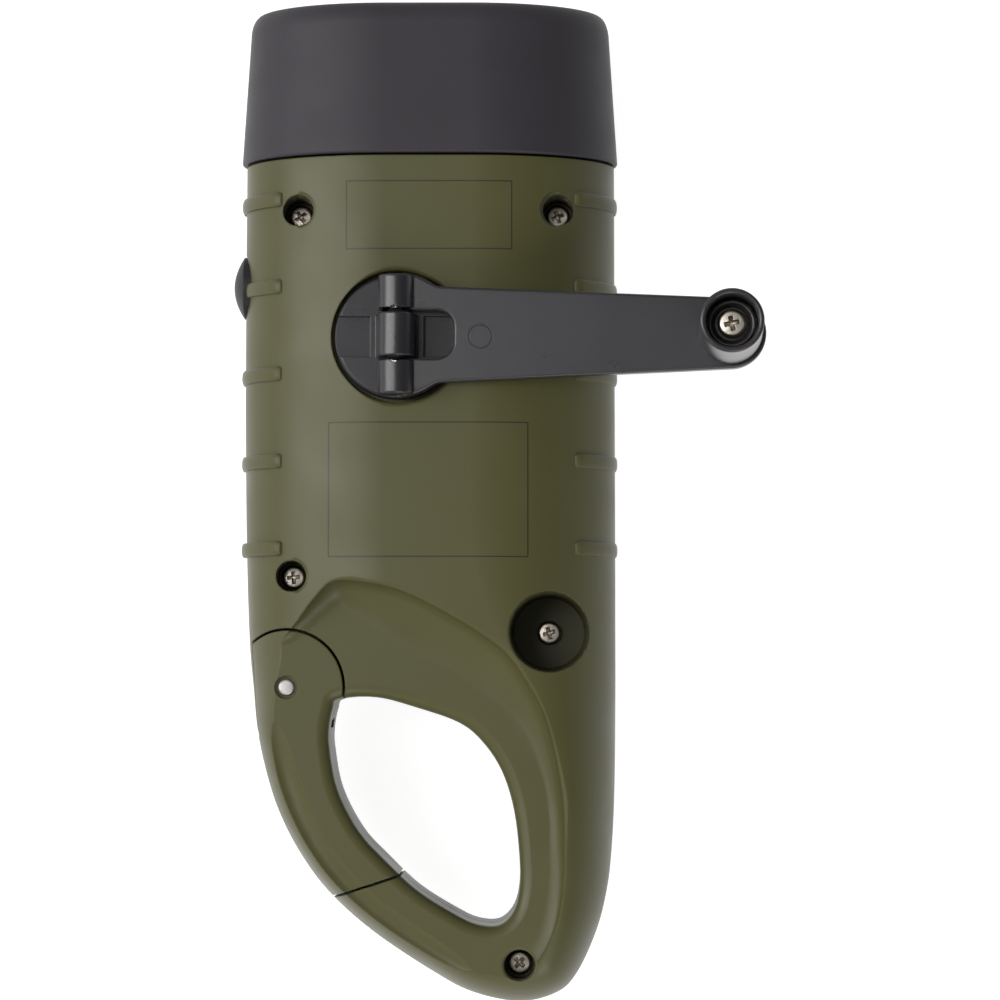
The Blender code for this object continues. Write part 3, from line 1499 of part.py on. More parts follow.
def make_knob():
    place = knob_place()
    shoulder = POST_HEIGHT - GAP / 2
    bore = POST_RADIUS + RUNNING_GAP
    profile = (
        (KNOB_BORE_RADIUS, KNOB_LENGTH),
        (KNOB_RADIUS - KNOB_EDGE, KNOB_LENGTH),
        (KNOB_RADIUS, KNOB_LENGTH - KNOB_EDGE),
        (KNOB_RADIUS, KNOB_EDGE),
        (KNOB_RADIUS - KNOB_EDGE, 0),
        (bore, 0),
        (bore, shoulder - WALL),
        (KNOB_BORE_RADIUS, shoulder - WALL),
    )
    finish_part(turned("knob", profile, place, closed=True, steps=KNOB_SIDES), "black")
    post_end = Matrix.Translation((ARM_REACH, 0, ARM_RISE + POST_HEIGHT))
    make_screw(
        "knob_screw", hinge_place() @ post_end, DOCK_SCREW_LENGTH, POST_RADIUS + 2 * GAP,
        SCREW_HEAD_HEIGHT, SCREW_SHANK_RADIUS,
    )


# Gate


def make_gate():
    gate = case_form("gate", -SECTION_STEPS, SECTION_STEPS)
    outline = plate("gate_plan", gate_outline(0), -OVERRUN, THICKNESS + OVERRUN, cutter=True)
    cut(gate, scoop_cutter("gate_scoop_rear", 1), scoop_cutter("gate_scoop_front", -1))
    cut(gate, eye_cutter("gate_eye"))
    boolean(gate, outline, "INTERSECT")
    half_slot = TONGUE_HEIGHT / 2 + GAP
    slot = cylinder(
        "gate_slot", GATE_HEAD_RADIUS + GATE_GAP, MID_Z - half_slot, MID_Z + half_slot,
        PIN_X, PIN_Y, segments=WELL_SIDES, cutter=True,
    )
    pin_hole = cylinder(
        "gate_pin_hole", GATE_PIN_RADIUS + RUNNING_GAP, -OVERRUN, THICKNESS + OVERRUN,
        PIN_X, PIN_Y, segments=PIN_SIDES, cutter=True,
    )
    cut(gate, slot, pin_hole)
    for side in (1, -1):
        face = MID_Z + side * (HALF_THICKNESS - PLATEAU_DEPTH)
        ends = sorted((face - side * PIN_RECESS_DEPTH, face + side * OVERRUN))
        recess = cylinder(
            f"gate_pin_recess_{side}", PIN_RECESS_RADIUS, *ends, PIN_X, PIN_Y,
            segments=PIN_SIDES, cutter=True,
        )
        cut(gate, recess)
    finish_part(gate, "olive")
    pin_reach = HALF_THICKNESS - PLATEAU_DEPTH - RUNNING_GAP
    pin = cylinder(
        "gate_pin", GATE_PIN_RADIUS, MID_Z - pin_reach, MID_Z + pin_reach, PIN_X, PIN_Y,
        segments=PIN_SIDES,
    )
    finish_part(pin, "steel")


def make_gate_spring():
    """A short coil about the gate's pin, in the pocket of the tongue."""
    start = MID_Z + PARTING_GAP / 2 + GAP / 2 + SPRING_WIRE_RADIUS
    points = []
    for index in range(int(SPRING_TURNS * SPRING_POINTS_A_TURN) + 1):
        turns = index / SPRING_POINTS_A_TURN
        x, y = step_from((PIN_X, PIN_Y), SPRING_RADIUS, 2 * math.pi * turns)
        points.append((x, y, start + SPRING_PITCH * turns))
    wire("gate_spring", points, SPRING_WIRE_RADIUS, "steel")


# Button, switch, battery and board


def make_button():
    """A domed push button, its profile turned about a line along X."""
    flange = -BUTTON_FLANGE_X
    tip = -BUTTON_TIP_X
    flange_radius = BUTTON_RADIUS + BUTTON_FLANGE_WIDTH
    stem_end = flange - BUTTON_FLANGE_THICKNESS - BUTTON_STEM_LENGTH
    profile = [(0, tip)]
    for share in (0.3, 0.55, 0.8, 1):
        profile.append((BUTTON_RADIUS * share, tip - BUTTON_DOME * share**2))
    profile += [
        (BUTTON_RADIUS, flange),
        (flange_radius, flange),
        (flange_radius, flange - BUTTON_FLANGE_THICKNESS),
        (BUTTON_STEM_RADIUS, flange - BUTTON_FLANGE_THICKNESS),
        (BUTTON_STEM_RADIUS, stem_end),
        (0, stem_end),
    ]
    place = Matrix.Translation((0, BUTTON_Y, MID_Z)) @ Matrix.Rotation(-math.pi / 2, 4, "Y")
    finish_part(turned("power_button", profile, place), "rubber")


def make_switch():
    half = SWITCH_SIDE / 2
    switch = box(
        "power_switch",
        (SWITCH_X, BUTTON_Y - half, MID_Z - half),
        (SWITCH_X + SWITCH_DEPTH, BUTTON_Y + half, MID_Z + half),
    )
    finish_part(switch, "black")
    low_x = SWITCH_X + SWITCH_DEPTH + GAP
    half_width, half_height = SWITCH_BOARD_WIDTH / 2, SWITCH_BOARD_HEIGHT / 2
    board = box(
        "switch_board",
        (low_x, BUTTON_Y - half_width, MID_Z - half_height),
        (low_x + BOARD_THICKNESS, BUTTON_Y + half_width, MID_Z + half_height),
    )
    finish_part(board, "board")


def battery_axis():
    """The battery's middle line, along X: its height and its place along the grip."""
    y = GRIP_LENGTH - WALL - GAP - BATTERY_RADIUS
    return y, BED_Z + GAP + BATTERY_RADIUS


def make_battery():
    y, z = battery_axis()
    pitch = BATTERY_LENGTH + GAP
    profile = (
        (0, BATTERY_LENGTH),
        (BATTERY_TERMINAL_RADIUS, BATTERY_LENGTH),
        (BATTERY_TERMINAL_RADIUS, BATTERY_LENGTH - BATTERY_TERMINAL_STEP),
        (BATTERY_RADIUS, BATTERY_LENGTH - BATTERY_TERMINAL_STEP),
        (BATTERY_RADIUS, 0),
        (0, 0),
    )
    for index in range(CELL_COUNT):
        x = (index - CELL_COUNT / 2) * pitch + GAP / 2
        place = Matrix.Translation((x, y, z)) @ Matrix.Rotation(math.pi / 2, 4, "Y")
        finish_part(turned(f"battery_cell_{index + 1}", profile, place, steps=BORE_SIDES), "steel")


def charge_board_low():
    return battery_axis()[1] + BATTERY_RADIUS + GAP


def make_charge_board():
    y = battery_axis()[0]
    low = charge_board_low()
    board = box(
        "charge_board",
        (-CHARGE_BOARD_WIDTH / 2, y - BATTERY_RADIUS, low),
        (CHARGE_BOARD_WIDTH / 2, y + BATTERY_RADIUS, low + BOARD_THICKNESS),
    )
    finish_part(board, "board")
    top = low + BOARD_THICKNESS + GAP
    capacitor = cylinder(
        "charge_capacitor", CAPACITOR_RADIUS, top, top + CAPACITOR_HEIGHT, CAPACITOR_X, y,
        segments=PIN_SIDES,
    )
    finish_part(capacitor, "cell")


def make_leads():
    """The leads that join the cell, the dynamo, the switch and the lamp to the board."""
    board_y, board_low = battery_axis()[0], charge_board_low()
    board_top = board_low + BOARD_THICKNESS
    near_y = board_y - BATTERY_RADIUS + LEAD_INSET
    far_y = board_y + BATTERY_RADIUS - LEAD_INSET
    edge_x = CHARGE_BOARD_WIDTH / 2 - LEAD_INSET
    solar_x, solar_y = solar_lead_place()
    rotor_x, rotor_y = rotor_place()
    coil_z = (BED_Z + PLATE_Z) / 2
    switch_x = SWITCH_X + SWITCH_DEPTH + GAP + BOARD_THICKNESS
    routes = {
        "solar_lead": (
            (solar_x, solar_y, WINDOW_THICKNESS + CELL_THICKNESS + 2 * GAP),
            (solar_x, solar_y, BED_Z + LEAD_BOW),
            (edge_x, near_y, board_low - GAP),
        ),
        "dynamo_lead": (
            (rotor_x, rotor_y + COIL_RADIUS + GAP, coil_z),
            (rotor_x + LEAD_BOW, rotor_y + COIL_RADIUS + 2 * LEAD_BOW, coil_z),
            (-edge_x, near_y - 2 * LEAD_BOW, coil_z),
            (-edge_x, near_y, board_low - GAP),
        ),
        "switch_lead": (
            (switch_x + GAP, near_y - LEAD_INSET, board_top + LEAD_BOW),
            (-edge_x + LEAD_BOW, near_y, board_top + LEAD_BOW),
            (-edge_x + 2 * LEAD_BOW, near_y + LEAD_INSET, board_top + GAP),
        ),
        "lamp_lead": (
            (-CAPACITOR_X, far_y, board_top + GAP),
            (-CAPACITOR_X, far_y + LEAD_BOW, board_top + LEAD_BOW),
            (-CAPACITOR_X, BOARD_Y - GAP, board_top + LEAD_BOW),
        ),
    }
    for name, points in routes.items():
        wire(name, smooth_rows(points, LEAD_CUTS), LEAD_RADIUS, "lead")


# Joint axes


def add_joint_axes():
    """What moves together hangs from an empty on its joint's axis."""
    crank = carry(
        "crank_axis",
        Matrix.Translation((HUB_X, HUB_Y, HUB_TOP_Z)),
        ("crank_hub", "hub_screw", "drive_gear", "hinge_pin"),
    )
    arm = carry("arm_axis", hinge_place(), ("crank_arm", "knob_screw"), crank)
    carry("knob_axis", knob_place(), ("knob",), arm)
    carry("gate_axis", Matrix.Translation((PIN_X, PIN_Y, MID_Z)), ("gate",))
    carry(
        "button_axis", Matrix.Translation((BUTTON_TIP_X, BUTTON_Y, MID_Z)), ("power_button",)
    )
    first, second = idler_places()
    carry("gear_1_axis", Matrix.Translation((*first, GEAR_2_Z)), ("compound_gear_1",))
    carry("gear_2_axis", Matrix.Translation((*second, GEAR_3_Z)), ("compound_gear_2",))
    rotor = Matrix.Translation((*rotor_place(), GEAR_3_Z))
    carry("rotor_axis", rotor, ("rotor_magnet", "rotor_pinion"))


def main():
    clear_scene()
    make_collection("torch")
    make_collection("torch_cutters")
    make_materials()
    make_rear_shell()
    make_front_shell()
    make_bumper()
    make_lens()
    make_reflector()
    make_leds()
    make_led_board()
    make_solar_panel()
    make_case_screws()
    make_gear_train()
    make_gear_plate()
    make_dynamo()
    make_hub()
    make_arm()
    make_knob()
    make_gate()
    make_gate_spring()
    make_button()
    make_switch()
    make_battery()
    make_charge_board()
    make_leads()
    add_joint_axes()


main()
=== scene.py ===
"""Looks of the hand-crank torch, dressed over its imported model.

Every shell, the crank and the trim that shows is built again here with fine curves, rounded
edges and procedural materials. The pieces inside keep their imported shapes. Units are metres.
"""

import json
import math

import bmesh
import bpy
from mathutils import Matrix, Vector
from mathutils.bvhtree import BVHTree
from mathutils.interpolate import poly_3d_calc


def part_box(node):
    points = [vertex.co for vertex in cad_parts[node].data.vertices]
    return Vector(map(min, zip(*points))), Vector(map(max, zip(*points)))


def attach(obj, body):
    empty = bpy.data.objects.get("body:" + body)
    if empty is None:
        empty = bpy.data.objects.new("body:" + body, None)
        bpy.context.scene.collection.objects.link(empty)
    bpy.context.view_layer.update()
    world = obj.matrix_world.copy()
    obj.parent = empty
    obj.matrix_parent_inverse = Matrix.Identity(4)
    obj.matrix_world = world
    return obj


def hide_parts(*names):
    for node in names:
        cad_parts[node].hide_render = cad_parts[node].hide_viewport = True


MM = 0.001
MERGE = 0.001 * MM
OVERRUN = 2.0 * MM
GAP = 0.3 * MM
FIT = 0.03 * MM

# How near a face lies to the surface it was made from, how far it may turn from it, and
# how far its corners are moved in before they are looked up
SKIN_REACH = 0.005 * MM
SKIN_TURN = math.radians(12)
SKIN_STEP_IN = 0.02
SKINS = {}
SHARP_ANGLE = math.radians(30)

# Sides of turned shapes, and steps of rounded edges
BORE_SIDES = 32
NOTCH_SIDES = 33
PIN_SIDES = 40
SCREW_SIDES = 48
CUP_SIDES = 60
ROUND_SIDES = 64
BARREL_SIDES = 72
KNOB_SIDES = 80
WELL_SIDES = 96
EDGE_STEPS = 5
COLLAR_STEPS = 3
CORNER_STEPS = 8

# Case
THICKNESS = 29.0 * MM
HALF_WIDTH = 24.65 * MM
GRIP_LENGTH = 44.2 * MM
TAIL_REACH = 66.9 * MM
ROUND_WIDTH = 19.0 * MM
WALL = 1.8 * MM
PARTING_GAP = 0.3 * MM
PLATEAU_DEPTH = 5.0 * MM
SWEEP_WIDTH = 6.5 * MM
SHOULDER = 0.7 * MM
EYE_ROUNDING = 1.5 * MM
# The valley beside the carabiner's outer edge, with its span in rows of the outline
VALLEY_ROWS = (4.5, 14.2)
VALLEY_FADE_ROWS = 3.2
VALLEY_INSET = 2.75 * MM
VALLEY_RADIUS = 2.1 * MM
VALLEY_DEPTH = 0.95 * MM
VALLEY_SIDES = 28
PATH_CUTS = 6
SECTION_STEPS = 14
ROOM_END_Y = -9.5 * MM
SCOOP_STEPS = 9
EYE_STEPS = 6
EYE_CUTS = 5

# Neck, bumper and lamp
NECK_LENGTH = 13.8 * MM
NECK_INSET = 3.2 * MM
NECK_WALL = 1.6 * MM
BUMPER_LENGTH = 20.1 * MM
BUMPER_PROUD = 0.5 * MM
BUMPER_TAPER = 1.1 * MM
BUMPER_NOSE = 3.0 * MM
BUMPER_LIP = 3.4 * MM
BUMPER_EDGE = 0.35 * MM
BUMPER_NOSE_SHARE = 0.5
BUMPER_STEPS = 6
BUMPER_EDGE_STEPS = 4
MOUTH_FLARE = 1.2 * MM
LENS_THICKNESS = 1.6 * MM
PANE_EDGE = 0.2 * MM
REFLECTOR_DEPTH = 9.5 * MM
CUP_PITCH = 12.2 * MM
CUP_RADIUS = 5.7 * MM
CUP_HOLE_RADIUS = 3.1 * MM
CUP_FULLNESS = 0.5
CUP_STEPS = 12
LED_RADIUS = 2.5 * MM
LED_FLANGE_RADIUS = 2.9 * MM
LED_FLANGE_HEIGHT = 1.0 * MM
LED_HEIGHT = 6.5 * MM
LED_STEPS = 8
BOARD_THICKNESS = 1.2 * MM

# Grip ribs
RIB_COUNT = 5
RIB_FIRST_Y = 38.9 * MM
RIB_PITCH = 11.5 * MM
RIB_WIDTH = 1.95 * MM
RIB_PROUD = 0.45 * MM
RIB_SINK = 0.5 * MM
RIB_END_X = 19.3 * MM
RIB_FULLNESS = 0.6
RIB_SIDES = 8
RIB_LENGTHS = 14
RIB_END_STEPS = 4
RIB_END_LENGTH = 0.5 * MM
RIB_BLUNT_SHARE = 0.35
RIB_END_NARROW_SHARE = 0.2

# Screws
BORE_RADIUS = 2.0 * MM
BORE_FLARE = 0.35 * MM
SCREW_SEAT_Z = 17.0 * MM
SCREW_HEAD_RADIUS = 1.6 * MM
SCREW_HEAD_HEIGHT = 1.3 * MM
SCREW_SHANK_RADIUS = 1.1 * MM
SCREW_LENGTH = 9.5 * MM
SCREW_FLAT_SHARE = 0.72
SCREW_SIDE_SHARE = 0.6
SCREW_TIP_SHARE = 1 / 3
# The cross recess: reach and half width as shares of the head, and depth
CROSS_LEVELS = ((0.1, 0.07, 0.9 * MM), (0.5, 0.15, 0.3 * MM), (0.64, 0.19, -OVERRUN))
NECK_SCREW = (17.1 * MM, 37.3 * MM)
GATE_SIDE_SCREW = (-17.97 * MM, -10.74 * MM)
TAIL_SCREW = (12.0 * MM, -61.6 * MM)

# Crank
HUB_X = -3.96 * MM
HUB_Y = 20.39 * MM
HUB_RADIUS = 8.1 * MM
HUB_GAP = 0.5 * MM
HUB_EDGE = 0.45 * MM
WELL_DEPTH = 3.0 * MM
WELL_FLARE = 0.6 * MM
HUB_DROP = 0.2 * MM
SHAFT_RADIUS = 2.25 * MM
BARREL_RADIUS = 2.35 * MM
LUG_WIDTH = 5.7 * MM
LUG_FOOT = 7.0 * MM
CHANNEL_WIDTH = 5.3 * MM
CHANNEL_DEPTH = 0.9 * MM
LUG_WAIST_SHARE = 0.6
LUG_WAIST_ROUNDING = 0.8 * MM
LUG_EDGE = 0.25 * MM
NUB_RADIUS = 1.4 * MM
NUB_HEIGHT = 0.65 * MM
NUB_RISE = 0.7 * MM
NUB_SINK = 0.4 * MM
NUB_SHARES = (0.0, 0.15, 0.3, 0.45, 0.6, 0.75, 0.9)
NUB_CLEARANCE_SHARE = 0.75
NOTCH_RADIUS = 1.1 * MM
NOTCH_BITE = 0.55 * MM
HINGE_PIN_RADIUS = 0.9 * MM
BORE_TURN = math.radians(1.7)
ARM_REACH = 43.3 * MM
ARM_THICKNESS = 2.5 * MM
ARM_RISE = 0.5 * MM
ARM_ROOT_WIDTH = 12.4 * MM
ARM_BLEND = 3.0 * MM
ARM_SLOT_REACH = 7.5 * MM
ARM_SLOT_WIDTH = 6.3 * MM
ARM_SLOT_CORNER = 2.2 * MM
ARM_SLOT_FLARE = 0.3 * MM
ARM_END_RADIUS = 4.6 * MM
ARM_EDGE = 0.35 * MM
ARM_RAISE = math.radians(2.5)
EJECTOR_X = 10.95 * MM
EJECTOR_Y = -0.3 * MM
EJECTOR_RADIUS = 1.5 * MM
EJECTOR_DEPTH = 0.06 * MM
POST_RADIUS = 2.4 * MM
POST_HEIGHT = 11.9 * MM
COLLAR_RADIUS = 2.95 * MM
COLLAR_RIM_RADIUS = 2.62 * MM
COLLAR_BORE_RADIUS = 2.1 * MM
COLLAR_HEIGHT = 1.0 * MM
COLLAR_EDGE = 0.14 * MM
KNOB_RADIUS = 4.05 * MM
KNOB_LENGTH = 17.2 * MM
KNOB_BORE_RADIUS = 3.3 * MM
KNOB_EDGE = 0.5 * MM
KNOB_LIP = 0.35 * MM
KNOB_SCREW_TURN = math.radians(12)
KNOB_SCREW_HEAD_RADIUS = 1.85 * MM
DOCK_ANGLE = math.radians(-62.6)
DOCK_RIM_RADIUS = 5.35 * MM
DOCK_FLOOR_RADIUS = 4.7 * MM
DOCK_FLARE = 0.5 * MM
DOCK_WALL = 1.5 * MM
DOCK_CLEARANCE = 1.1 * MM
DOCK_SCREW_LENGTH = 6.0 * MM

# Gate
PIN_X = -18.6 * MM
PIN_Y = -25.3 * MM
GATE_HEAD_RADIUS = 7.4 * MM
GATE_GAP = 0.35 * MM
GATE_PIN_RADIUS = 1.05 * MM
GATE_PIN_SINK = 0.1 * MM
GATE_PIN_EDGE = 0.3 * MM
PIN_RECESS_RADIUS = 1.5 * MM
PIN_RECESS_DEPTH = 0.5 * MM
TONGUE_HEIGHT = 6.4 * MM

# Button and solar panel
BUTTON_Y = 28.1 * MM
BUTTON_RADIUS = 4.15 * MM
BUTTON_PROUD = 1.55 * MM
BUTTON_DOME = 1.4 * MM
BUTTON_EDGE = 0.12 * MM
BUTTON_STEPS = 10
BUTTON_FLANGE_WIDTH = 1.0 * MM
BUTTON_FLANGE_THICKNESS = 0.8 * MM
BUTTON_STEM_RADIUS = 1.5 * MM
BUTTON_STEM_LENGTH = 2.0 * MM
PANEL_Y = 12.8 * MM
PANEL_WIDTH = 33.0 * MM
PANEL_LENGTH = 44.0 * MM
PANEL_CORNER = 3.0 * MM
PANEL_RIM = 2.4 * MM
PANEL_EDGE = 0.5 * MM
WINDOW_THICKNESS = 1.2 * MM
POCKET_Z = 2.3 * MM
BED_Z = 3.6 * MM

# Plain frames where the printed labels are: corner, corner and line width
LABEL_FRAMES = (
    (-10.6 * MM, 31.9 * MM, 11.0 * MM, 40.8 * MM),
    (-12.9 * MM, -8.3 * MM, 13.1 * MM, 9.2 * MM),
)
LABEL_LINE = 0.18 * MM
LABEL_INK = 0.8
LABEL_COLOUR = (0.015, 0.015, 0.013)

# The solar cell's silver bars: axis across them, pitch and width
CELL_BARS = (("Y", 1.25 * MM, 0.12 * MM), ("X", 6.6 * MM, 0.7 * MM))
CELL_BAR_COLOUR = (0.35, 0.36, 0.38)

# Finishes: colour, roughness, metallic share, and the options of surface() in millimetres
OLIVE = (0.066, 0.064, 0.024)
MOULDED = {"grain": 0.22, "depth": 0.007, "edge": 0.3, "specular": 0.25}
FINISHES = {
    "case": (OLIVE, 0.4, 0.0, MOULDED),
    "front_case": (OLIVE, 0.4, 0.0, MOULDED),
    "bumper": (
        (0.031, 0.028, 0.033), 0.5, 0.0,
        {"grain": 0.3, "depth": 0.012, "variation": 0.08, "specular": 0.22},
    ),
    "button": ((0.014, 0.013, 0.015), 0.5, 0.0, {"grain": 0.2, "depth": 0.008, "specular": 0.25}),
    "crank": (
        (0.017, 0.0155, 0.018), 0.3, 0.0,
        {"grain": 0.35, "depth": 0.003, "variation": 0.08, "scratch": 0.6, "specular": 0.4},
    ),
    # collar: a lighter copy of the crank's black plastic, so that its rim shows a painted highlight
    "collar": (
        (0.034, 0.03, 0.028), 0.25, 0.0,
        {"grain": 0.3, "depth": 0.004, "variation": 0.1, "blotch": 1.0, "edge": 0.1},
    ),
    "steel": (
        (0.54, 0.49, 0.42), 0.3, 1.0,
        {"grain": 0.3, "depth": 0.014, "variation": 0.18, "blotch": 0.8, "edge": 0.1},
    ),
    "pin": (
        (0.42, 0.415, 0.4), 0.45, 0.6,
        {"grain": 0.35, "depth": 0.03, "variation": 0.2, "blotch": 0.8, "edge": 0.1},
    ),
    "brass": ((0.62, 0.45, 0.19), 0.3, 1.0, {"grain": 0.15}),
    "magnet": ((0.2, 0.2, 0.21), 0.35, 0.9, {"grain": 0.2, "variation": 0.1}),
    "copper": ((0.55, 0.24, 0.11), 0.3, 0.9, {"scratch": 0.3}),
    "battery": ((0.62, 0.62, 0.63), 0.22, 1.0, {"scratch": 0.5}),
    "reflector": ((0.86, 0.86, 0.87), 0.06, 1.0, {"grain": 0.8, "depth": 0.002, "edge": 0.0}),
    "board": ((0.02, 0.13, 0.05), 0.35, 0.0, {"blotch": 2.0, "variation": 0.2}),
    "component": ((0.03, 0.03, 0.035), 0.35, 0.0, {"variation": 0.1}),
    "lead": ((0.42, 0.02, 0.02), 0.4, 0.0, {"variation": 0.1, "blotch": 2.0}),
    "nylon": ((0.7, 0.67, 0.6), 0.42, 0.0, {"variation": 0.04, "specular": 0.4}),
    "cell": ((0.012, 0.016, 0.05), 0.25, 0.0, {"grain": 1.5, "variation": 0.25}),
}
GLASS_FINISHES = {
    "lens": ((0.97, 0.98, 0.98), 0.03),
    "window": ((0.9, 0.92, 0.95), 0.03),
    "led": ((0.98, 0.98, 0.95), 0.05),
}
GLASS_IOR = 1.49
GLOSS_VARIATION = 0.12
SCRATCH_STRETCH = 30.0
BEVEL_SAMPLES = 4
MIX_COLOUR_SOCKETS = (6, 7)

# Camera and stage
CAMERA_HEIGHT = 520.0 * MM
CAMERA_X = 12.06 * MM
CAMERA_Y = -25.46 * MM
AIM_X = 9.4 * MM
AIM_Y = -0.27 * MM
LENS_MM = 140.1
SENSOR_MM = 36.0
CLIP_START = 0.01
FLOOR_Z = -0.7 * MM
FLOOR_SIZE = 4.0
FLOOR_SHADE = 0.4
FLOOR_GLOW = 0.86
FLOOR_ROUGHNESS = 0.9
FLOOR_SPECULAR = 0.1
WALL_LIGHT = 1.0
WALL_FADE = (0.12, 0.4)
CEILING_LIGHT = 0.36
CEILING_START = -0.05
CEILING_EDGE = (0.26, 0.4)
CEILING_DARK_SHARE = 0.35

# Lamps: name, place, aim, width and height, and power
LAMPS = (
    ("key", (-0.72, 0.1, 0.88), (0.0, 0.0, 0.02), (0.26, 1.3), 11.0),
    ("fill", (0.14, -0.42, 0.3), (0.0, -0.07, 0.02), (0.35, 0.25), 1.3),
)

# Rows of shares. Across is a share of HALF_WIDTH. Along is a share of GRIP_LENGTH towards
# the head and of TAIL_REACH towards the tail. Rounding is a share of ROUND_WIDTH, or of
# SWEEP_WIDTH in the scoop, and height is a share of half the thickness.
OUTLINE_SHARES = (
    (-0.995, 1.0, 1.0, 1.0),
    (-1.0, 0.5, 1.0, 1.0),
    (-0.998, 0.1, 1.0, 1.0),
    (-0.988, -0.15, 1.0, 1.0),
    (-0.972, -0.3, 1.0, 1.0),
    (-0.951, -0.38, 0.5, 0.85),
    (-0.929, -0.46, 0.2, 0.69),
    (-0.884, -0.54, 0.17, 0.68),
    (-0.815, -0.62, 0.17, 0.68),
    (-0.706, -0.7, 0.17, 0.68),
    (-0.548, -0.78, 0.18, 0.68),
    (-0.304, -0.861, 0.19, 0.68),
    (0.027, -0.942, 0.2, 0.68),
    (0.239, -0.982, 0.23, 0.68),
    (0.489, -1.0, 0.28, 0.69),
    (0.69, -0.982, 0.29, 0.7),
    (0.799, -0.942, 0.31, 0.72),
    (0.901, -0.861, 0.35, 0.76),
    (0.957, -0.782, 0.39, 0.8),
    (0.984, -0.701, 0.42, 0.85),
    (1.0, -0.58, 0.44, 0.91),
    (1.006, -0.4, 0.62, 0.97),
    (1.006, -0.25, 0.85, 1.0),
    (1.006, -0.1, 1.0, 1.0),
    (1.004, 0.4, 1.0, 1.0),
    (1.002, 1.0, 1.0, 1.0),
)
CREASE_SHARES = (
    (-1.3, -0.31, 0.2, 0.76),
    (-0.83, -0.285, 0.2, 0.76),
    (-0.702, -0.254, 0.3, 0.78),
    (-0.609, -0.211, 0.4, 0.86),
    (-0.49, -0.172, 0.5, 0.94),
    (-0.286, -0.177, 0.8, 1.0),
    (-0.118, -0.194, 1.0, 1.0),
    (0.081, -0.23, 1.0, 1.0),
    (0.26, -0.269, 1.0, 1.0),
    (0.414, -0.312, 0.9, 0.99),
    (0.531, -0.371, 0.75, 0.98),
    (0.613, -0.428, 0.55, 0.96),
    (0.669, -0.498, 0.4, 0.93),
    (0.714, -0.598, 0.3, 0.88),
    (0.722, -0.688, 0.3, 0.84),
    (0.718, -0.755, 0.3, 0.8),
    (0.694, -0.822, 0.3, 0.77),
    (0.645, -0.876, 0.3, 0.75),
    (0.56, -0.925, 0.3, 0.74),
    (0.4, -0.98, 0.2, 0.74),
    (0.2, -1.08, 0.2, 0.74),
)
SCOOP_CORNER_SHARES = ((-1.3, -1.08, 0.0, 0.75),)
EYE_SHARES = (
    (-0.473, -0.401),
    (-0.272, -0.398),
    (-0.053, -0.419),
    (0.162, -0.447),
    (0.285, -0.483),
    (0.391, -0.541),
    (0.458, -0.62),
    (0.488, -0.72),
    (0.483, -0.782),
    (0.446, -0.821),
    (0.375, -0.843),
    (0.272, -0.842),
    (0.162, -0.825),
    (-0.053, -0.776),
    (-0.23, -0.715),
    (-0.365, -0.661),
    (-0.479, -0.581),
    (-0.523, -0.501),
    (-0.527, -0.46),
    (-0.507, -0.42),
)
GATE_JOINT_SHARES = ((-1.25, -0.878), (-0.08, -0.735))
GATE_INSIDE_SHARES = ((-0.18, -0.62), (-0.36, -0.49))
GATE_OUTSIDE_SHARE = -1.25
HEAD_ARC = (math.radians(-11), math.radians(158))
TONGUE_ARC = (math.radians(-2), math.radians(145))
FINE_STEP = math.radians(4)

# Derived places
MID_Z = THICKNESS / 2
HALF_THICKNESS = THICKNESS / 2
NECK_TOP_Y = GRIP_LENGTH + NECK_LENGTH
BUMPER_BACK_Y = GRIP_LENGTH + GAP
BUMPER_FRONT_Y = BUMPER_BACK_Y + BUMPER_LENGTH
WELL_Z = THICKNESS - WELL_DEPTH
HUB_TOP_Z = THICKNESS - HUB_DROP
HINGE_Z = HUB_TOP_Z + GAP + BARREL_RADIUS
KNOB_BASE_HEIGHT = ARM_RISE + GAP
DOCK_X = HUB_X + ARM_REACH * math.cos(DOCK_ANGLE)
DOCK_Y = HUB_Y + ARM_REACH * math.sin(DOCK_ANGLE)
DOCK_FLOOR_Z = HINGE_Z - KNOB_BASE_HEIGHT - KNOB_LENGTH - DOCK_CLEARANCE
BOARD_Y = NECK_TOP_Y - REFLECTOR_DEPTH - GAP - BOARD_THICKNESS
PLATEAU_TOP_Z = THICKNESS - PLATEAU_DEPTH

# Screws that show: name, place, seat height, shank length and the turn of the cross. The
# last one is in the dock.
CASE_SCREWS = (
    ("case_screw_1", *NECK_SCREW, SCREW_SEAT_Z, SCREW_LENGTH, math.radians(20)),
    ("case_screw_2", -NECK_SCREW[0], NECK_SCREW[1], SCREW_SEAT_Z, SCREW_LENGTH, math.radians(35)),
    ("case_screw_3", *GATE_SIDE_SCREW, SCREW_SEAT_Z, SCREW_LENGTH, math.radians(5)),
    ("case_screw_4", *TAIL_SCREW, SCREW_SEAT_Z, SCREW_LENGTH, math.radians(50)),
    ("dock_screw", DOCK_X, DOCK_Y, DOCK_FLOOR_Z, DOCK_SCREW_LENGTH, math.radians(15)),
)


# Points


def smooth_rows(rows, cuts, closed=False):
    """Rows of numbers along a Catmull-Rom curve that passes through every given row."""
    count = len(rows)
    spans = count if closed else count - 1
    found = []
    for index in range(spans):
        if closed:
            ends = [rows[(index + shift) % count] for shift in (-1, 0, 1, 2)]
        else:
            ends = [rows[min(max(index + shift, 0), count - 1)] for shift in (-1, 0, 1, 2)]
        for cut_index in range(cuts):
            t = cut_index / cuts
            found.append(
                tuple(
                    (2 * b + (c - a) * t + (2 * a - 5 * b + 4 * c - d) * t**2
                     + (3 * b - a - 3 * c + d) * t**3) / 2
                    for a, b, c, d in zip(*ends)
                )
            )
    if not closed:
        found.append(tuple(rows[-1]))
    return found


def across(share):
    return share * HALF_WIDTH


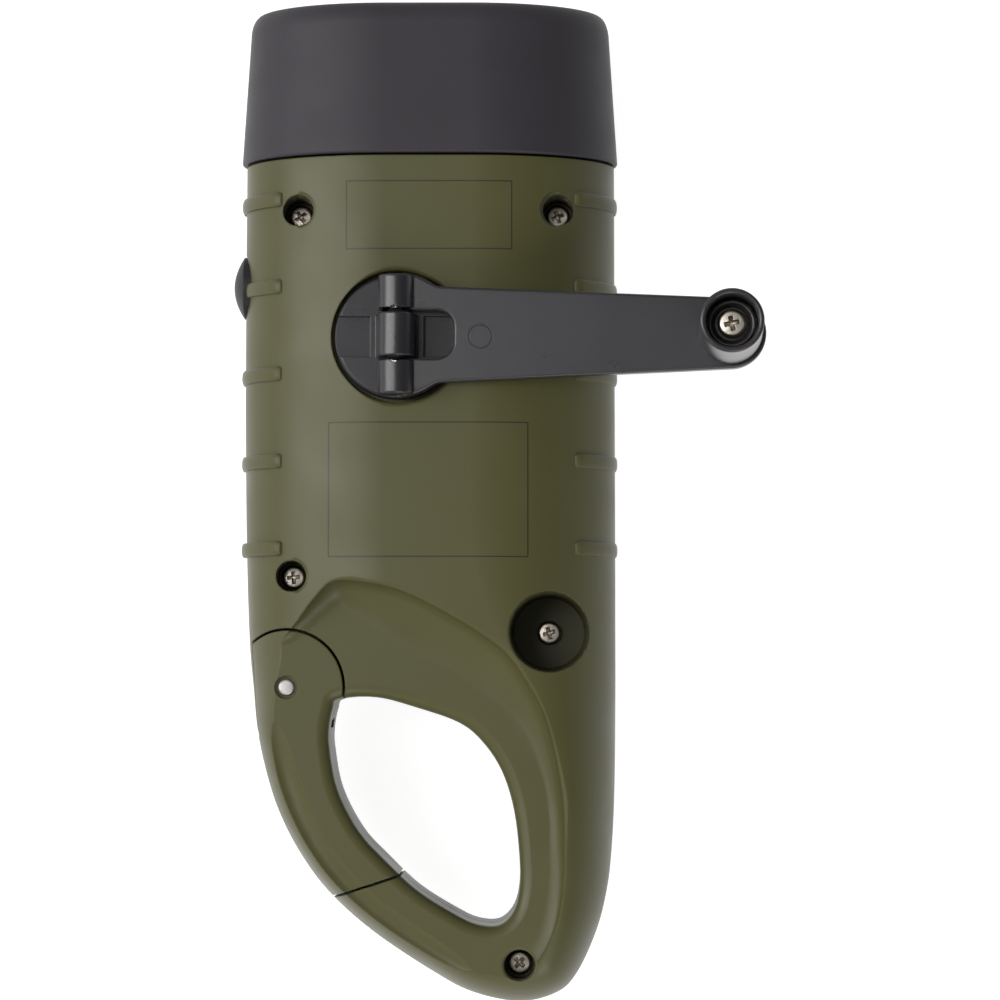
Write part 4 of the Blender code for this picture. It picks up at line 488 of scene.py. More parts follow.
def along(share):
    return share * (GRIP_LENGTH if share > 0 else TAIL_REACH)


def placed_rows(shares, width):
    return [
        (across(x), along(y), rounding * width, height * HALF_THICKNESS)
        for x, y, rounding, height in shares
    ]


def inward_normals(points, closed=False):
    """The unit normal at each point, on the left of the way the points run."""
    count = len(points)
    found = []
    for index in range(count):
        before, after = index - 1, index + 1
        if closed:
            after %= count
        else:
            before, after = max(before, 0), min(after, count - 1)
        way = Vector(points[after][:2]) - Vector(points[before][:2])
        found.append(Vector((-way.y, way.x)).normalized())
    return found


def ring_at(path, normals, place):
    """A path set in along its normals.

    From the values of a row beyond x and y, place gives how far it is set in, and its height.
    """
    ring = []
    for row, normal in zip(path, normals):
        inset, z = place(*row[2:])
        ring.append((row[0] + normal.x * inset, row[1] + normal.y * inset, z))
    return ring


def arc(x, y, radius, start, end, step=FINE_STEP):
    count = max(2, math.ceil(abs(end - start) / step))
    angles = [start + (end - start) * index / count for index in range(count + 1)]
    return [(x + radius * math.cos(angle), y + radius * math.sin(angle)) for angle in angles]


def rounded(points, closed=True, steps=4):
    """A line of (x, y, radius) points with an arc of that radius at each corner."""
    count = len(points)
    found = []
    for index, (x, y, radius) in enumerate(points):
        if radius == 0 or (not closed and index in (0, count - 1)):
            found.append((x, y))
            continue
        corner = Vector((x, y))
        before = (Vector(points[index - 1][:2]) - corner).normalized()
        after = (Vector(points[(index + 1) % count][:2]) - corner).normalized()
        half = before.angle(after) / 2
        reach = radius / math.tan(half)
        centre = corner + (before + after).normalized() * (radius / math.sin(half))
        start = corner + before * reach - centre
        end = corner + after * reach - centre
        for step in range(steps + 1):
            way = start.lerp(end, step / steps).normalized()
            found.append(tuple(centre + way * radius))
    return found


def mirrored(points):
    """A line of points and then its mirror image, back to front, across the second axis."""
    return points + [(x, -y, *rest) for x, y, *rest in reversed(points)]


def section(inset):
    """The upper half of the case's cross section, set in all round, from right to left."""
    rounding = ROUND_WIDTH - inset
    flat = HALF_WIDTH - ROUND_WIDTH
    right = []
    for step in range(SECTION_STEPS + 1):
        angle = math.pi / 2 * step / SECTION_STEPS
        right.append((flat + rounding * math.cos(angle), (HALF_THICKNESS - inset) * math.sin(angle)))
    return right + [(-x, z) for x, z in reversed(right)]


def full_section(inset):
    """The case's whole cross section, set in all round."""
    upper = section(inset)
    return upper + [(x, -z) for x, z in reversed(upper[1:-1])]


def rounded_rectangle(x, y, width, length, radius):
    corners = ((1, 1), (-1, 1), (-1, -1), (1, -1))
    points = [(x + side_x * width / 2, y + side_y * length / 2, radius) for side_x, side_y in corners]
    return rounded(points, steps=CORNER_STEPS)


def shift(x, y, z=0):
    """A move to a place."""
    return Matrix.Translation((x, y, z))


def spin(angle, axis):
    """A turn about an axis."""
    return Matrix.Rotation(angle, 4, axis)


# Solids


def new_object(name, build):
    mesh = bpy.data.meshes.new(name)
    bmesh.ops.recalc_face_normals(build, faces=build.faces)
    build.to_mesh(mesh)
    build.free()
    made = bpy.data.objects.new(name, mesh)
    bpy.context.scene.collection.objects.link(made)
    shade(made)
    return made


def shade(item):
    item.data.shade_smooth()
    item.data.set_sharp_from_angle(angle=SHARP_ANGLE)


def bridge_rings(build, rings, rungs=False):
    """Side faces between rings of the same number of points, and a cap on each end."""
    made = [[build.verts.new(point) for point in ring] for ring in rings]
    count = len(made[0])
    for lower, upper in zip(made, made[1:]):
        for index in range(count):
            after = (index + 1) % count
            build.faces.new((lower[index], lower[after], upper[after], upper[index]))
    for ring in (made[0], made[-1]):
        if not rungs:
            build.faces.new(ring)
            continue
        for index in range((count - 1) // 2):
            corners = (ring[index], ring[index + 1], ring[-2 - index], ring[-1 - index])
            build.faces.new(list(dict.fromkeys(corners)))


def loft(name, rings, rungs=False):
    build = bmesh.new()
    bridge_rings(build, rings, rungs)
    bmesh.ops.triangulate(build, faces=build.faces)
    return new_object(name, build)


def section_loft(name, stations):
    """The case's cross section at several places along Y, set in by its own amount at each."""
    return loft(name, [[(x, y, MID_Z + z) for x, z in full_section(inset)] for y, inset in stations])


def stack(name, outline, levels, place=None):
    """A plan outline at several (height, inset) levels, joined into one solid."""
    normals = inward_normals(outline, closed=True)
    pairs = zip(outline, outline[1:] + outline[:1])
    side = 1 if sum(a[0] * b[1] - b[0] * a[1] for a, b in pairs) > 0 else -1
    made = loft(name, [ring_at(outline, normals, lambda: (side * inset, z)) for z, inset in levels])
    if place is not None:
        made.data.transform(place)
    return made


def quarter(steps=EDGE_STEPS):
    """(1 - cosine, 1 - sine) pairs of a quarter turn, for rounded edges."""
    angles = [math.pi / 2 * step / steps for step in range(steps + 1)]
    return [(1 - math.cos(angle), 1 - math.sin(angle)) for angle in angles]


def mouth_levels(low, high, top, flare, inset=0.0):
    """(Height, inset) levels of a hole whose mouth opens with a rounded rim below its top."""
    levels = [(low, inset)]
    levels += [(high - flare * drop, inset - flare * outset) for outset, drop in quarter()]
    return levels + [(top, inset - flare)]


def pad(name, outline, low, high, edge=0.0, place=None):
    """A plan outline between two heights, with its top and bottom edges rounded."""
    levels = [(low, 0.0), (high, 0.0)]
    if edge:
        levels = [(low + edge * rise, edge * inset) for rise, inset in quarter()]
        levels += [(low + high - z, inset) for z, inset in reversed(levels)]
    return stack(name, outline, levels, place)


def turned(name, profile, place, steps, closed=False):
    """A profile of (radius, height) points turned about Z."""
    build = bmesh.new()
    rings = []
    for radius, height in profile:
        count = 1 if radius < MERGE else steps
        angles = [2 * math.pi * index / steps for index in range(count)]
        rings.append(
            [build.verts.new((radius * math.cos(a), radius * math.sin(a), height)) for a in angles]
        )
    pairs = list(zip(rings, rings[1:]))
    if closed:
        pairs.append((rings[-1], rings[0]))
    for upper, lower in pairs:
        for index in range(steps):
            after = (index + 1) % steps
            corners = [
                upper[index % len(upper)], upper[after % len(upper)],
                lower[after % len(lower)], lower[index % len(lower)],
            ]
            corners = list(dict.fromkeys(corners))
            if len(corners) > 2:
                build.faces.new(corners)
    made = new_object(name, build)
    made.data.transform(place)
    return made


def rod(name, radius, low, high, place, steps=ROUND_SIDES, edge=0.0):
    """A round bar about Z, its end edges rounded where an edge is given."""
    profile = [(0, high, 0), (radius, high, edge), (radius, low, edge), (0, low, 0)]
    return turned(name, rounded(profile, closed=False), place, steps)


def flared_hole(name, radius, low, high, flare, place, floor_radius=None, steps=ROUND_SIDES):
    """A hole's cutter whose mouth opens with a rounded rim at the given height."""
    profile = [(0, high + OVERRUN), (radius + flare, high + OVERRUN)]
    profile += [(radius + flare * inset, high - flare * drop) for drop, inset in quarter()]
    profile += [(radius if floor_radius is None else floor_radius, low), (0, low)]
    return turned(name, profile, place, steps)


def block(name, low, high):
    outline = [(low[0], low[1]), (high[0], low[1]), (high[0], high[1]), (low[0], high[1])]
    return pad(name, outline, low[2], high[2])


def along_y(name, points, low, high, edge=0.0):
    """A section in X and Z, extruded along Y, about the middle plane."""
    turn = shift(0, 0, MID_Z) @ spin(-math.pi / 2, "X")
    return pad(name, [(x, -z) for x, z in points], low, high, edge, place=turn)


def combine(target, operation, *others):
    """A Boolean with each other solid in turn, made final, with the other solids removed."""
    skins = skins_of(target)
    way = -1 if operation == "DIFFERENCE" else 1
    for other in others:
        skins += [(*skin, way * side) for *skin, side in skins_of(other)]
        modifier = target.modifiers.new(other.name, "BOOLEAN")
        modifier.operation = operation
        modifier.solver = "MANIFOLD"
        modifier.object = other
    mesh = evaluated_mesh(target)
    target.modifiers.clear()
    target.data = mesh
    for other in others:
        bpy.data.objects.remove(other)
    SKINS[target.name] = skins
    return target


def evaluated_mesh(item):
    depsgraph = bpy.context.evaluated_depsgraph_get()
    return bpy.data.meshes.new_from_object(item.evaluated_get(depsgraph))


def skins_of(item):
    """The surfaces that a solid was made from: its own, or those of all its Booleans."""
    if item.name in SKINS:
        return SKINS.pop(item.name)
    shading = item.modifiers.new("even_normals", "WEIGHTED_NORMAL")
    shading.keep_sharp = True
    mesh = evaluated_mesh(item)
    item.modifiers.remove(shading)
    points = [vertex.co.copy() for vertex in mesh.vertices]
    faces = [tuple(face.vertices) for face in mesh.polygons]
    normals = [corner.vector.copy() for corner in mesh.corner_normals]
    corners = [[normals[index] for index in face.loop_indices] for face in mesh.polygons]
    bpy.data.meshes.remove(mesh)
    return [(BVHTree.FromPolygons(points, faces), points, faces, corners, 1)]


def skin_normal(skin, place, facing):
    """The even normal of a surface near a place, if it lies there and faces that way."""
    tree, points, faces, corners, side = skin
    spot, normal, index, _ = tree.find_nearest(place, SKIN_REACH)
    if spot is None or side * normal.dot(facing) < math.cos(SKIN_TURN):
        return None
    weights = poly_3d_calc([points[corner] for corner in faces[index]], spot)
    total = sum((way * weight for way, weight in zip(corners[index], weights)), Vector())
    return side * total.normalized()


def follow(item):
    """Corner normals from the surfaces that a solid was made from, without streaks."""
    skins = skins_of(item)
    mesh = item.data
    shade(item)
    normals = [corner.vector.copy() for corner in mesh.corner_normals]
    for face in mesh.polygons:
        centre, facing = face.center.copy(), face.normal.copy()
        skin = next((skin for skin in skins if skin_normal(skin, centre, facing)), None)
        if skin is None:
            continue
        for index in face.loop_indices:
            place = mesh.vertices[mesh.loops[index].vertex_index].co
            normal = skin_normal(skin, place.lerp(centre, SKIN_STEP_IN), facing)
            if normal is not None:
                normals[index] = normal
    mesh.normals_split_custom_set(normals)


def cut(target, *others):
    return combine(target, "DIFFERENCE", *others)


def join(target, *others):
    return combine(target, "UNION", *others)


def dress(item, material, body, slot, *nodes):
    """Material, even normals, the body it rides on and the nodes that it stands for."""
    item.data.materials.clear()
    item.data.materials.append(material)
    follow(item)
    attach(item, body)
    if nodes:
        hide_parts(*nodes)
    return item


# Materials


def node_of(tree, kind, inputs=(), **settings):
    """A node with its settings, whose inputs are numbers, colours or other nodes' outputs."""
    made = tree.nodes.new(kind)
    for name, value in settings.items():
        setattr(made, name, value)
    feed(tree, made, inputs)
    return made


def feed(tree, node, inputs):
    """Numbers, colours and other nodes' outputs, given to a node's inputs by name or place."""
    for name, value in dict(inputs).items():
        socket = node.inputs[name]
        if isinstance(value, bpy.types.NodeSocket):
            tree.links.new(value, socket)
        else:
            socket.default_value = (*value, 1.0) if socket.type == "RGBA" else value


def noise(tree, place, size, detail=3.0):
    inputs = {"Scale": 1 / size, "Detail": detail, "Vector": place}
    return node_of(tree, "ShaderNodeTexNoise", inputs).outputs["Fac"]


def spread(tree, value, low, high, from_low=0.3, from_high=0.7):
    limits = {"From Min": from_low, "From Max": from_high, "To Min": low, "To Max": high}
    return node_of(tree, "ShaderNodeMapRange", {"Value": value, **limits}).outputs["Result"]


def mix(tree, factor, first, second):
    inputs = {"Factor": factor, **dict(zip(MIX_COLOUR_SOCKETS, (first, second)))}
    return node_of(tree, "ShaderNodeMix", inputs, data_type="RGBA").outputs[2]


def calculate(tree, operation, *values):
    return node_of(tree, "ShaderNodeMath", enumerate(values), operation=operation).outputs[0]


def shaded(colour, share):
    return tuple(channel * share for channel in colour)


def surface(
    name, colour, roughness, metallic=0.0, grain=0.25, depth=0.01, variation=0.05,
    blotch=9.0, edge=0.2, specular=0.5, scratch=0.0,
):
    """A surface with fine grain, soft edges, and slow changes of colour and gloss.

    Grain, depth, blotch, edge and scratch are sizes in millimetres.
    """
    material = bpy.data.materials.new(name)
    material.use_nodes = True
    tree = material.node_tree
    place = node_of(tree, "ShaderNodeTexCoord").outputs["Object"]
    broad = noise(tree, place, blotch * MM)
    height = noise(tree, place, grain * MM, 2.0)
    if scratch:
        stretched = node_of(
            tree, "ShaderNodeMapping", {"Scale": (1.0, SCRATCH_STRETCH, 1.0), "Vector": place}
        )
        lines = noise(tree, stretched.outputs["Vector"], scratch * MM, 1.0)
        height = calculate(tree, "ADD", height, lines)
    bump = node_of(tree, "ShaderNodeBump", {"Distance": depth * MM, "Strength": 1.0, "Height": height})
    if edge:
        soft = node_of(tree, "ShaderNodeBevel", {"Radius": edge * MM}, samples=BEVEL_SAMPLES)
        feed(tree, bump, {"Normal": soft.outputs["Normal"]})
    feed(tree, tree.nodes["Principled BSDF"], {
        "Base Color": mix(tree, broad, shaded(colour, 1 - variation), shaded(colour, 1 + variation)),
        "Roughness": spread(
            tree, broad, roughness * (1 - GLOSS_VARIATION), roughness * (1 + GLOSS_VARIATION)
        ),
        "Metallic": metallic,
        "Specular IOR Level": specular,
        "Normal": bump.outputs["Normal"],
    })
    return material


def glass(name, colour, roughness):
    material = surface(name, colour, roughness, depth=0.0005, variation=0.01, edge=0.0)
    shader = material.node_tree.nodes["Principled BSDF"]
    feed(material.node_tree, shader, {"Transmission Weight": 1.0, "IOR": GLASS_IOR})
    return material


def object_axes(tree):
    """The place on the object, as X, Y and Z."""
    place = node_of(tree, "ShaderNodeTexCoord").outputs["Object"]
    return node_of(tree, "ShaderNodeSeparateXYZ", {0: place}).outputs


def paint(material, masks, share, colour):
    """A colour laid over a material's own, by a share, where any of the masks is one."""
    tree = material.node_tree
    total = masks[0]
    for mask in masks[1:]:
        total = calculate(tree, "MAXIMUM", total, mask)
    total = calculate(tree, "MULTIPLY", total, share)
    base = tree.nodes["Principled BSDF"].inputs["Base Color"]
    tree.links.new(mix(tree, total, base.links[0].from_socket, colour), base)


def add_label_frames(material):
    """Thin dark printed frames on the crank side, left bare inside."""
    tree = material.node_tree
    axes = object_axes(tree)
    lines = []
    for left, bottom, right, top in LABEL_FRAMES:
        reach = []
        for axis, low, high in (("X", left, right), ("Y", bottom, top)):
            moved = calculate(tree, "SUBTRACT", axes[axis], (low + high) / 2)
            size = calculate(tree, "ABSOLUTE", moved)
            reach.append(calculate(tree, "SUBTRACT", size, (high - low) / 2))
        far = calculate(tree, "MAXIMUM", *reach)
        lines.append(calculate(tree, "COMPARE", far, 0.0, LABEL_LINE / 2))
    upper = calculate(tree, "GREATER_THAN", axes["Z"], PLATEAU_TOP_Z)
    paint(material, lines, calculate(tree, "MULTIPLY", upper, LABEL_INK), LABEL_COLOUR)


def add_cell_bars(material):
    """Fine silver fingers across two broader bars."""
    tree = material.node_tree
    axes = object_axes(tree)
    lines = []
    for axis, pitch, width in CELL_BARS:
        wrapped = calculate(tree, "WRAP", axes[axis], pitch / 2, -pitch / 2)
        lines.append(calculate(tree, "COMPARE", wrapped, 0.0, width / 2))
    paint(material, lines, 1.0, CELL_BAR_COLOUR)


def make_materials():
    """The finishes, by the names of the record's slots, with a few more for small pieces."""
    made = {name: surface(name, *row, **options) for name, (*row, options) in FINISHES.items()}
    made.update({name: glass(name, *row) for name, row in GLASS_FINISHES.items()})
    add_label_frames(made["case"])
    add_cell_bars(made["cell"])
    return made


# Case


def case_form(name, low, high):
    """The case's rounded outside from the grip's top to the tail, between two levels.

    Levels count from the parting plane, and the last one is the flat of a face.
    """
    path = smooth_rows(placed_rows(OUTLINE_SHARES, ROUND_WIDTH), PATH_CUTS)
    normals = inward_normals(path)
    normals[0], normals[-1] = Vector((1, 0)), Vector((-1, 0))
    rings = []
    for level in range(low, high + 1):
        angle = math.pi / 2 * level / SECTION_STEPS
        inset_share, height_share = 1 - math.cos(angle), math.sin(angle)
        base = MID_Z
        if level == 0 and 0 in (low, high):
            base += PARTING_GAP / 2 if low == 0 else -PARTING_GAP / 2
        rings.append(ring_at(path, normals, lambda rounding, height: (
            rounding * inset_share, base + min(height, HALF_THICKNESS) * height_share
        )))
    return loft(name, rings, rungs=True)


def scoop_cutter(name, side):
    """The hollow that lowers the tail to its plateau, with a rounded shoulder above it."""
    path = smooth_rows(placed_rows(CREASE_SHARES, SWEEP_WIDTH), PATH_CUTS)
    normals = [-normal for normal in inward_normals(path)]
    corners = placed_rows(SCOOP_CORNER_SHARES, SWEEP_WIDTH)
    path += corners
    normals += [Vector((0, 0))] * len(corners)
    floor = HALF_THICKNESS - PLATEAU_DEPTH
    rings = [ring_at(path, normals, lambda _, height: (-SHOULDER, HALF_THICKNESS + OVERRUN))]
    for drop, outset in quarter(SCOOP_STEPS)[:-1]:
        rings.append(ring_at(path, normals, lambda _, height: (
            -SHOULDER * outset, height - SHOULDER * drop
        )))
    for inset, drop in quarter(SCOOP_STEPS):
        rings.append(ring_at(path, normals, lambda rounding, height: (
            rounding * inset, floor + (height - SHOULDER - floor) * drop
        )))
    return loft(name, [[(x, y, MID_Z + side * z) for x, y, z in ring] for ring in rings])


def valley_cutter(name, side):
    """A tube that leaves a shallow valley beside the outer edge and fades at its ends."""
    path = smooth_rows(placed_rows(OUTLINE_SHARES, ROUND_WIDTH), PATH_CUTS)
    normals = inward_normals(path)
    first, last = (round(row * PATH_CUTS) for row in VALLEY_ROWS)
    fade_length = VALLEY_FADE_ROWS * PATH_CUTS
    rings = []
    for index in range(first, last + 1):
        x, y = path[index][:2]
        normal = normals[index]
        fade = max(0, 1 - min(index - first, last - index) / fade_length)
        lift = (VALLEY_DEPTH + OVERRUN) * fade**2
        middle = HALF_THICKNESS - PLATEAU_DEPTH - VALLEY_DEPTH + VALLEY_RADIUS + lift
        ring = []
        for step in range(VALLEY_SIDES):
            turn = 2 * math.pi * step / VALLEY_SIDES
            inset = VALLEY_INSET + VALLEY_RADIUS * math.cos(turn)
            height = side * (middle + VALLEY_RADIUS * math.sin(turn))
            ring.append((x + normal.x * inset, y + normal.y * inset, MID_Z + height))
        rings.append(ring)
    return loft(name, rings)


def eye_cutter(name):
    """The carabiner's eye, right through, with its edges rounded onto both plateaus."""
    path = smooth_rows([(across(x), along(y)) for x, y in EYE_SHARES], EYE_CUTS, closed=True)
    rise = HALF_THICKNESS - PLATEAU_DEPTH
    levels = [(HALF_THICKNESS + OVERRUN, EYE_ROUNDING)]
    levels += [
        (rise - EYE_ROUNDING * drop, EYE_ROUNDING * grow)
        for grow, drop in reversed(quarter(EYE_STEPS))
    ]
    levels += [(-height, grow) for height, grow in reversed(levels)]
    return stack(name, path, [(MID_Z + height, -grow) for height, grow in levels])


def gate_outline(gap):
    """The gate's plan, grown by a gap on its head and its joint, open into the eye."""
    head = arc(PIN_X, PIN_Y, GATE_HEAD_RADIUS + gap, *HEAD_ARC)
    joint = [(across(x), along(y) - gap) for x, y in GATE_JOINT_SHARES]
    inside = [(across(x), along(y)) for x, y in GATE_INSIDE_SHARES]
    return head + [(across(GATE_OUTSIDE_SHARE), head[-1][1])] + joint + inside


def tongue_outline():
    """The case's tongue in the gate's fork: a disc on the pin, joined to the case."""
    disc = arc(PIN_X, PIN_Y, GATE_HEAD_RADIUS - GATE_GAP, TONGUE_ARC[1], TONGUE_ARC[0] + 2 * math.pi)
    bridge = arc(PIN_X, PIN_Y, GATE_HEAD_RADIUS + OVERRUN, *TONGUE_ARC)
    return bridge + disc


def rib_forms(name, side):
    """All grip ribs of one half: bars with rounded backs and blunt ends, round the edges."""
    build = bmesh.new()
    flat = HALF_WIDTH - ROUND_WIDTH
    start = math.acos((RIB_END_X - flat) / ROUND_WIDTH)
    base = PARTING_GAP
    first = start - RIB_END_LENGTH / ROUND_WIDTH
    stations = []
    for step in range(RIB_END_STEPS):
        growth = math.sin(math.pi / 2 * step / RIB_END_STEPS)
        stations.append((first + RIB_END_LENGTH * (1 - growth) / ROUND_WIDTH, growth))
    stations += [(first * (1 - step / RIB_LENGTHS), 1.0) for step in range(RIB_LENGTHS + 1)]
    for rib in range(RIB_COUNT):
        middle = RIB_FIRST_Y - rib * RIB_PITCH
        for mirror in (1, -1):
            rings = []
            for angle, growth in stations:
                rise_share = RIB_BLUNT_SHARE + (1 - RIB_BLUNT_SHARE) * growth
                width = RIB_WIDTH / 2 * (1 - RIB_END_NARROW_SHARE * (1 - growth))
                ring = []
                for station in range(RIB_SIDES + 1):
                    turn = math.pi * station / RIB_SIDES
                    rise = RIB_PROUD * rise_share * math.sin(turn) ** RIB_FULLNESS
                    if station in (0, RIB_SIDES):
                        rise = -RIB_SINK
                    x = flat + (ROUND_WIDTH + rise) * math.cos(angle)
                    z = base + (HALF_THICKNESS + rise - base) * math.sin(angle)
                    ring.append((mirror * x, middle - width * math.cos(turn), MID_Z + side * z))
                rings.append(ring)
            bridge_rings(build, rings)
    bmesh.ops.triangulate(build, faces=build.faces)
    return new_object(name, build)


def welded_copy(node):
    """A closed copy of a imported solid, for use as a cutter."""
    build = bmesh.new()
    build.from_mesh(frame["nodes"][node].data)
    bmesh.ops.remove_doubles(build, verts=build.verts, dist=MERGE)
    return new_object(f"{node}_copy", build)


def inner_room(node):
    """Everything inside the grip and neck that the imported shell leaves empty."""
    half_wall = WALL / 2
    grip = along_y(
        f"{node}_room", full_section(half_wall), ROOM_END_Y - half_wall, GRIP_LENGTH - half_wall
    )
    neck = along_y(
        f"{node}_neck_room", full_section(NECK_INSET + NECK_WALL / 2),
        GRIP_LENGTH - WALL, NECK_TOP_Y + OVERRUN,
    )
    join(grip, neck)
    return cut(grip, welded_copy(node))


def neck_form(name, side):
    points = [(x, side * max(z, PARTING_GAP / 2)) for x, z in section(NECK_INSET)]
    return along_y(name, points, GRIP_LENGTH - WALL, NECK_TOP_Y)


def cut_tail(shell, name, side):
    """The scoop, the eye and the gate's room, with the tongue kept for the gate's pin."""
    middle = MID_Z + side * TONGUE_HEIGHT / 2
    outside = MID_Z + side * (HALF_THICKNESS + OVERRUN)
    fork_ends = sorted((MID_Z - side * OVERRUN, middle + side * OVERRUN))
    inner = pad(f"{name}_fork_room", gate_outline(GATE_GAP), *fork_ends)
    tongue = pad(f"{name}_tongue", tongue_outline(), -OVERRUN, THICKNESS + OVERRUN)
    outer = pad(f"{name}_gate_room", gate_outline(GATE_GAP), *sorted((middle, outside)))
    pin = rod(f"{name}_pin_hole", GATE_PIN_RADIUS + FIT, 0, THICKNESS, shift(PIN_X, PIN_Y))
    cut(inner, tongue)
    cut(shell, inner, outer, scoop_cutter(f"{name}_scoop", side), eye_cutter(f"{name}_eye"), pin)
    cut(shell, valley_cutter(f"{name}_valley", side))


def button_hole(name):
    turn = shift(0, BUTTON_Y, MID_Z) @ spin(-math.pi / 2, "Y")
    return rod(name, BUTTON_RADIUS + GAP + FIT, HALF_WIDTH - 2 * WALL, HALF_WIDTH + OVERRUN, turn)


def make_rear_case(materials):
    shell = case_form("rear_case", 0, SECTION_STEPS)
    cut_tail(shell, "rear", 1)
    join(shell, rib_forms("rear_ribs", 1), neck_form("rear_neck", 1))
    cut(shell, inner_room("rear_shell"))
    hub_place = shift(HUB_X, HUB_Y)
    dock_place = shift(DOCK_X, DOCK_Y)
    cup = rod(
        "dock_cup", DOCK_FLOOR_RADIUS + DOCK_WALL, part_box("rear_shell")[0].z, MID_Z + OVERRUN,
        dock_place,
    )
    join(shell, cup)
    well = flared_hole(
        "well", HUB_RADIUS + HUB_GAP + FIT, WELL_Z - FIT, THICKNESS, WELL_FLARE, hub_place,
        steps=WELL_SIDES,
    )
    dock = flared_hole(
        "dock", DOCK_RIM_RADIUS, DOCK_FLOOR_Z - FIT, THICKNESS, DOCK_FLARE, dock_place,
        floor_radius=DOCK_FLOOR_RADIUS + FIT,
    )
    dock_bore = rod(
        "dock_bore", SCREW_SHANK_RADIUS + FIT, DOCK_FLOOR_Z - DOCK_SCREW_LENGTH, DOCK_FLOOR_Z,
        dock_place,
    )
    cut(shell, well, dock, dock_bore, button_hole("rear_button_hole"))
    for name, x, y, seat, _, _ in CASE_SCREWS[:-1]:
        top = PLATEAU_TOP_Z if name == "case_screw_4" else case_height(x)
        bore = flared_hole(
            f"{name}_bore", BORE_RADIUS + FIT, seat - FIT, top, BORE_FLARE,
            shift(x, y), steps=SCREW_SIDES,
        )
        cut(shell, bore)
    return dress(shell, materials["case"], "case", "case", "rear_shell")


def case_height(x):
    """The height of the grip's outside above a place across it."""
    share = max(0, abs(x) - (HALF_WIDTH - ROUND_WIDTH)) / ROUND_WIDTH
    return MID_Z + HALF_THICKNESS * math.sqrt(1 - share**2)


def make_front_case(materials):
    shell = case_form("front_case", -SECTION_STEPS, 0)
    cut_tail(shell, "front", -1)
    outline = rounded_rectangle(0, PANEL_Y, PANEL_WIDTH, PANEL_LENGTH, PANEL_CORNER)
    plinth = pad("plinth", outline, -FIT, BED_Z, PANEL_EDGE)
    join(shell, plinth, rib_forms("front_ribs", -1), neck_form("front_neck", -1))
    cut(shell, inner_room("front_shell"))
    width, length = PANEL_WIDTH - 2 * PANEL_RIM, PANEL_LENGTH - 2 * PANEL_RIM
    outline = rounded_rectangle(0, PANEL_Y, width + 2 * FIT, length + 2 * FIT, PANEL_CORNER / 2)
    pocket = pad("panel_pocket", outline, -OVERRUN, POCKET_Z + FIT)
    dock_room = rod(
        "dock_room", DOCK_FLOOR_RADIUS + DOCK_WALL + GAP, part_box("rear_shell")[0].z - GAP,
        MID_Z + OVERRUN, shift(DOCK_X, DOCK_Y),
    )
    cut(shell, pocket, dock_room, button_hole("front_button_hole"))
    return dress(shell, materials["front_case"], "case", "case", "front_shell")


# Head


def bumper_stations():
    """Places along the bumper and how far its section is set in there, back to front."""
    nose_y = BUMPER_FRONT_Y - BUMPER_NOSE
    start_y = BUMPER_BACK_Y + BUMPER_EDGE
    stations = [
        (BUMPER_BACK_Y + BUMPER_EDGE * rise, BUMPER_EDGE * inset)
        for rise, inset in quarter(BUMPER_EDGE_STEPS)
    ]
    for step in range(1, BUMPER_STEPS + 1):
        share = step / BUMPER_STEPS
        stations.append((start_y + (nose_y - start_y) * share, BUMPER_TAPER * share))
    nose_inset = BUMPER_NOSE * BUMPER_NOSE_SHARE
    for inset, rest in quarter(2 * BUMPER_STEPS)[1:]:
        stations.append((nose_y + BUMPER_NOSE * (1 - rest), BUMPER_TAPER + nose_inset * inset))
    return stations


def make_bumper(materials):
    stations = [(y, inset - BUMPER_PROUD) for y, inset in bumper_stations()]
    pocket = along_y(
        "bumper_pocket", full_section(NECK_INSET - GAP), BUMPER_BACK_Y - OVERRUN,
        NECK_TOP_Y + LENS_THICKNESS + 2 * GAP,
    )
    levels = mouth_levels(
        NECK_TOP_Y, BUMPER_FRONT_Y, BUMPER_FRONT_Y + OVERRUN, MOUTH_FLARE, NECK_INSET + BUMPER_LIP
    )
    bumper = cut(section_loft("bumper", stations), pocket, section_loft("bumper_mouth", levels))
    return dress(bumper, materials["bumper"], "case", "bumper", "head_bumper")


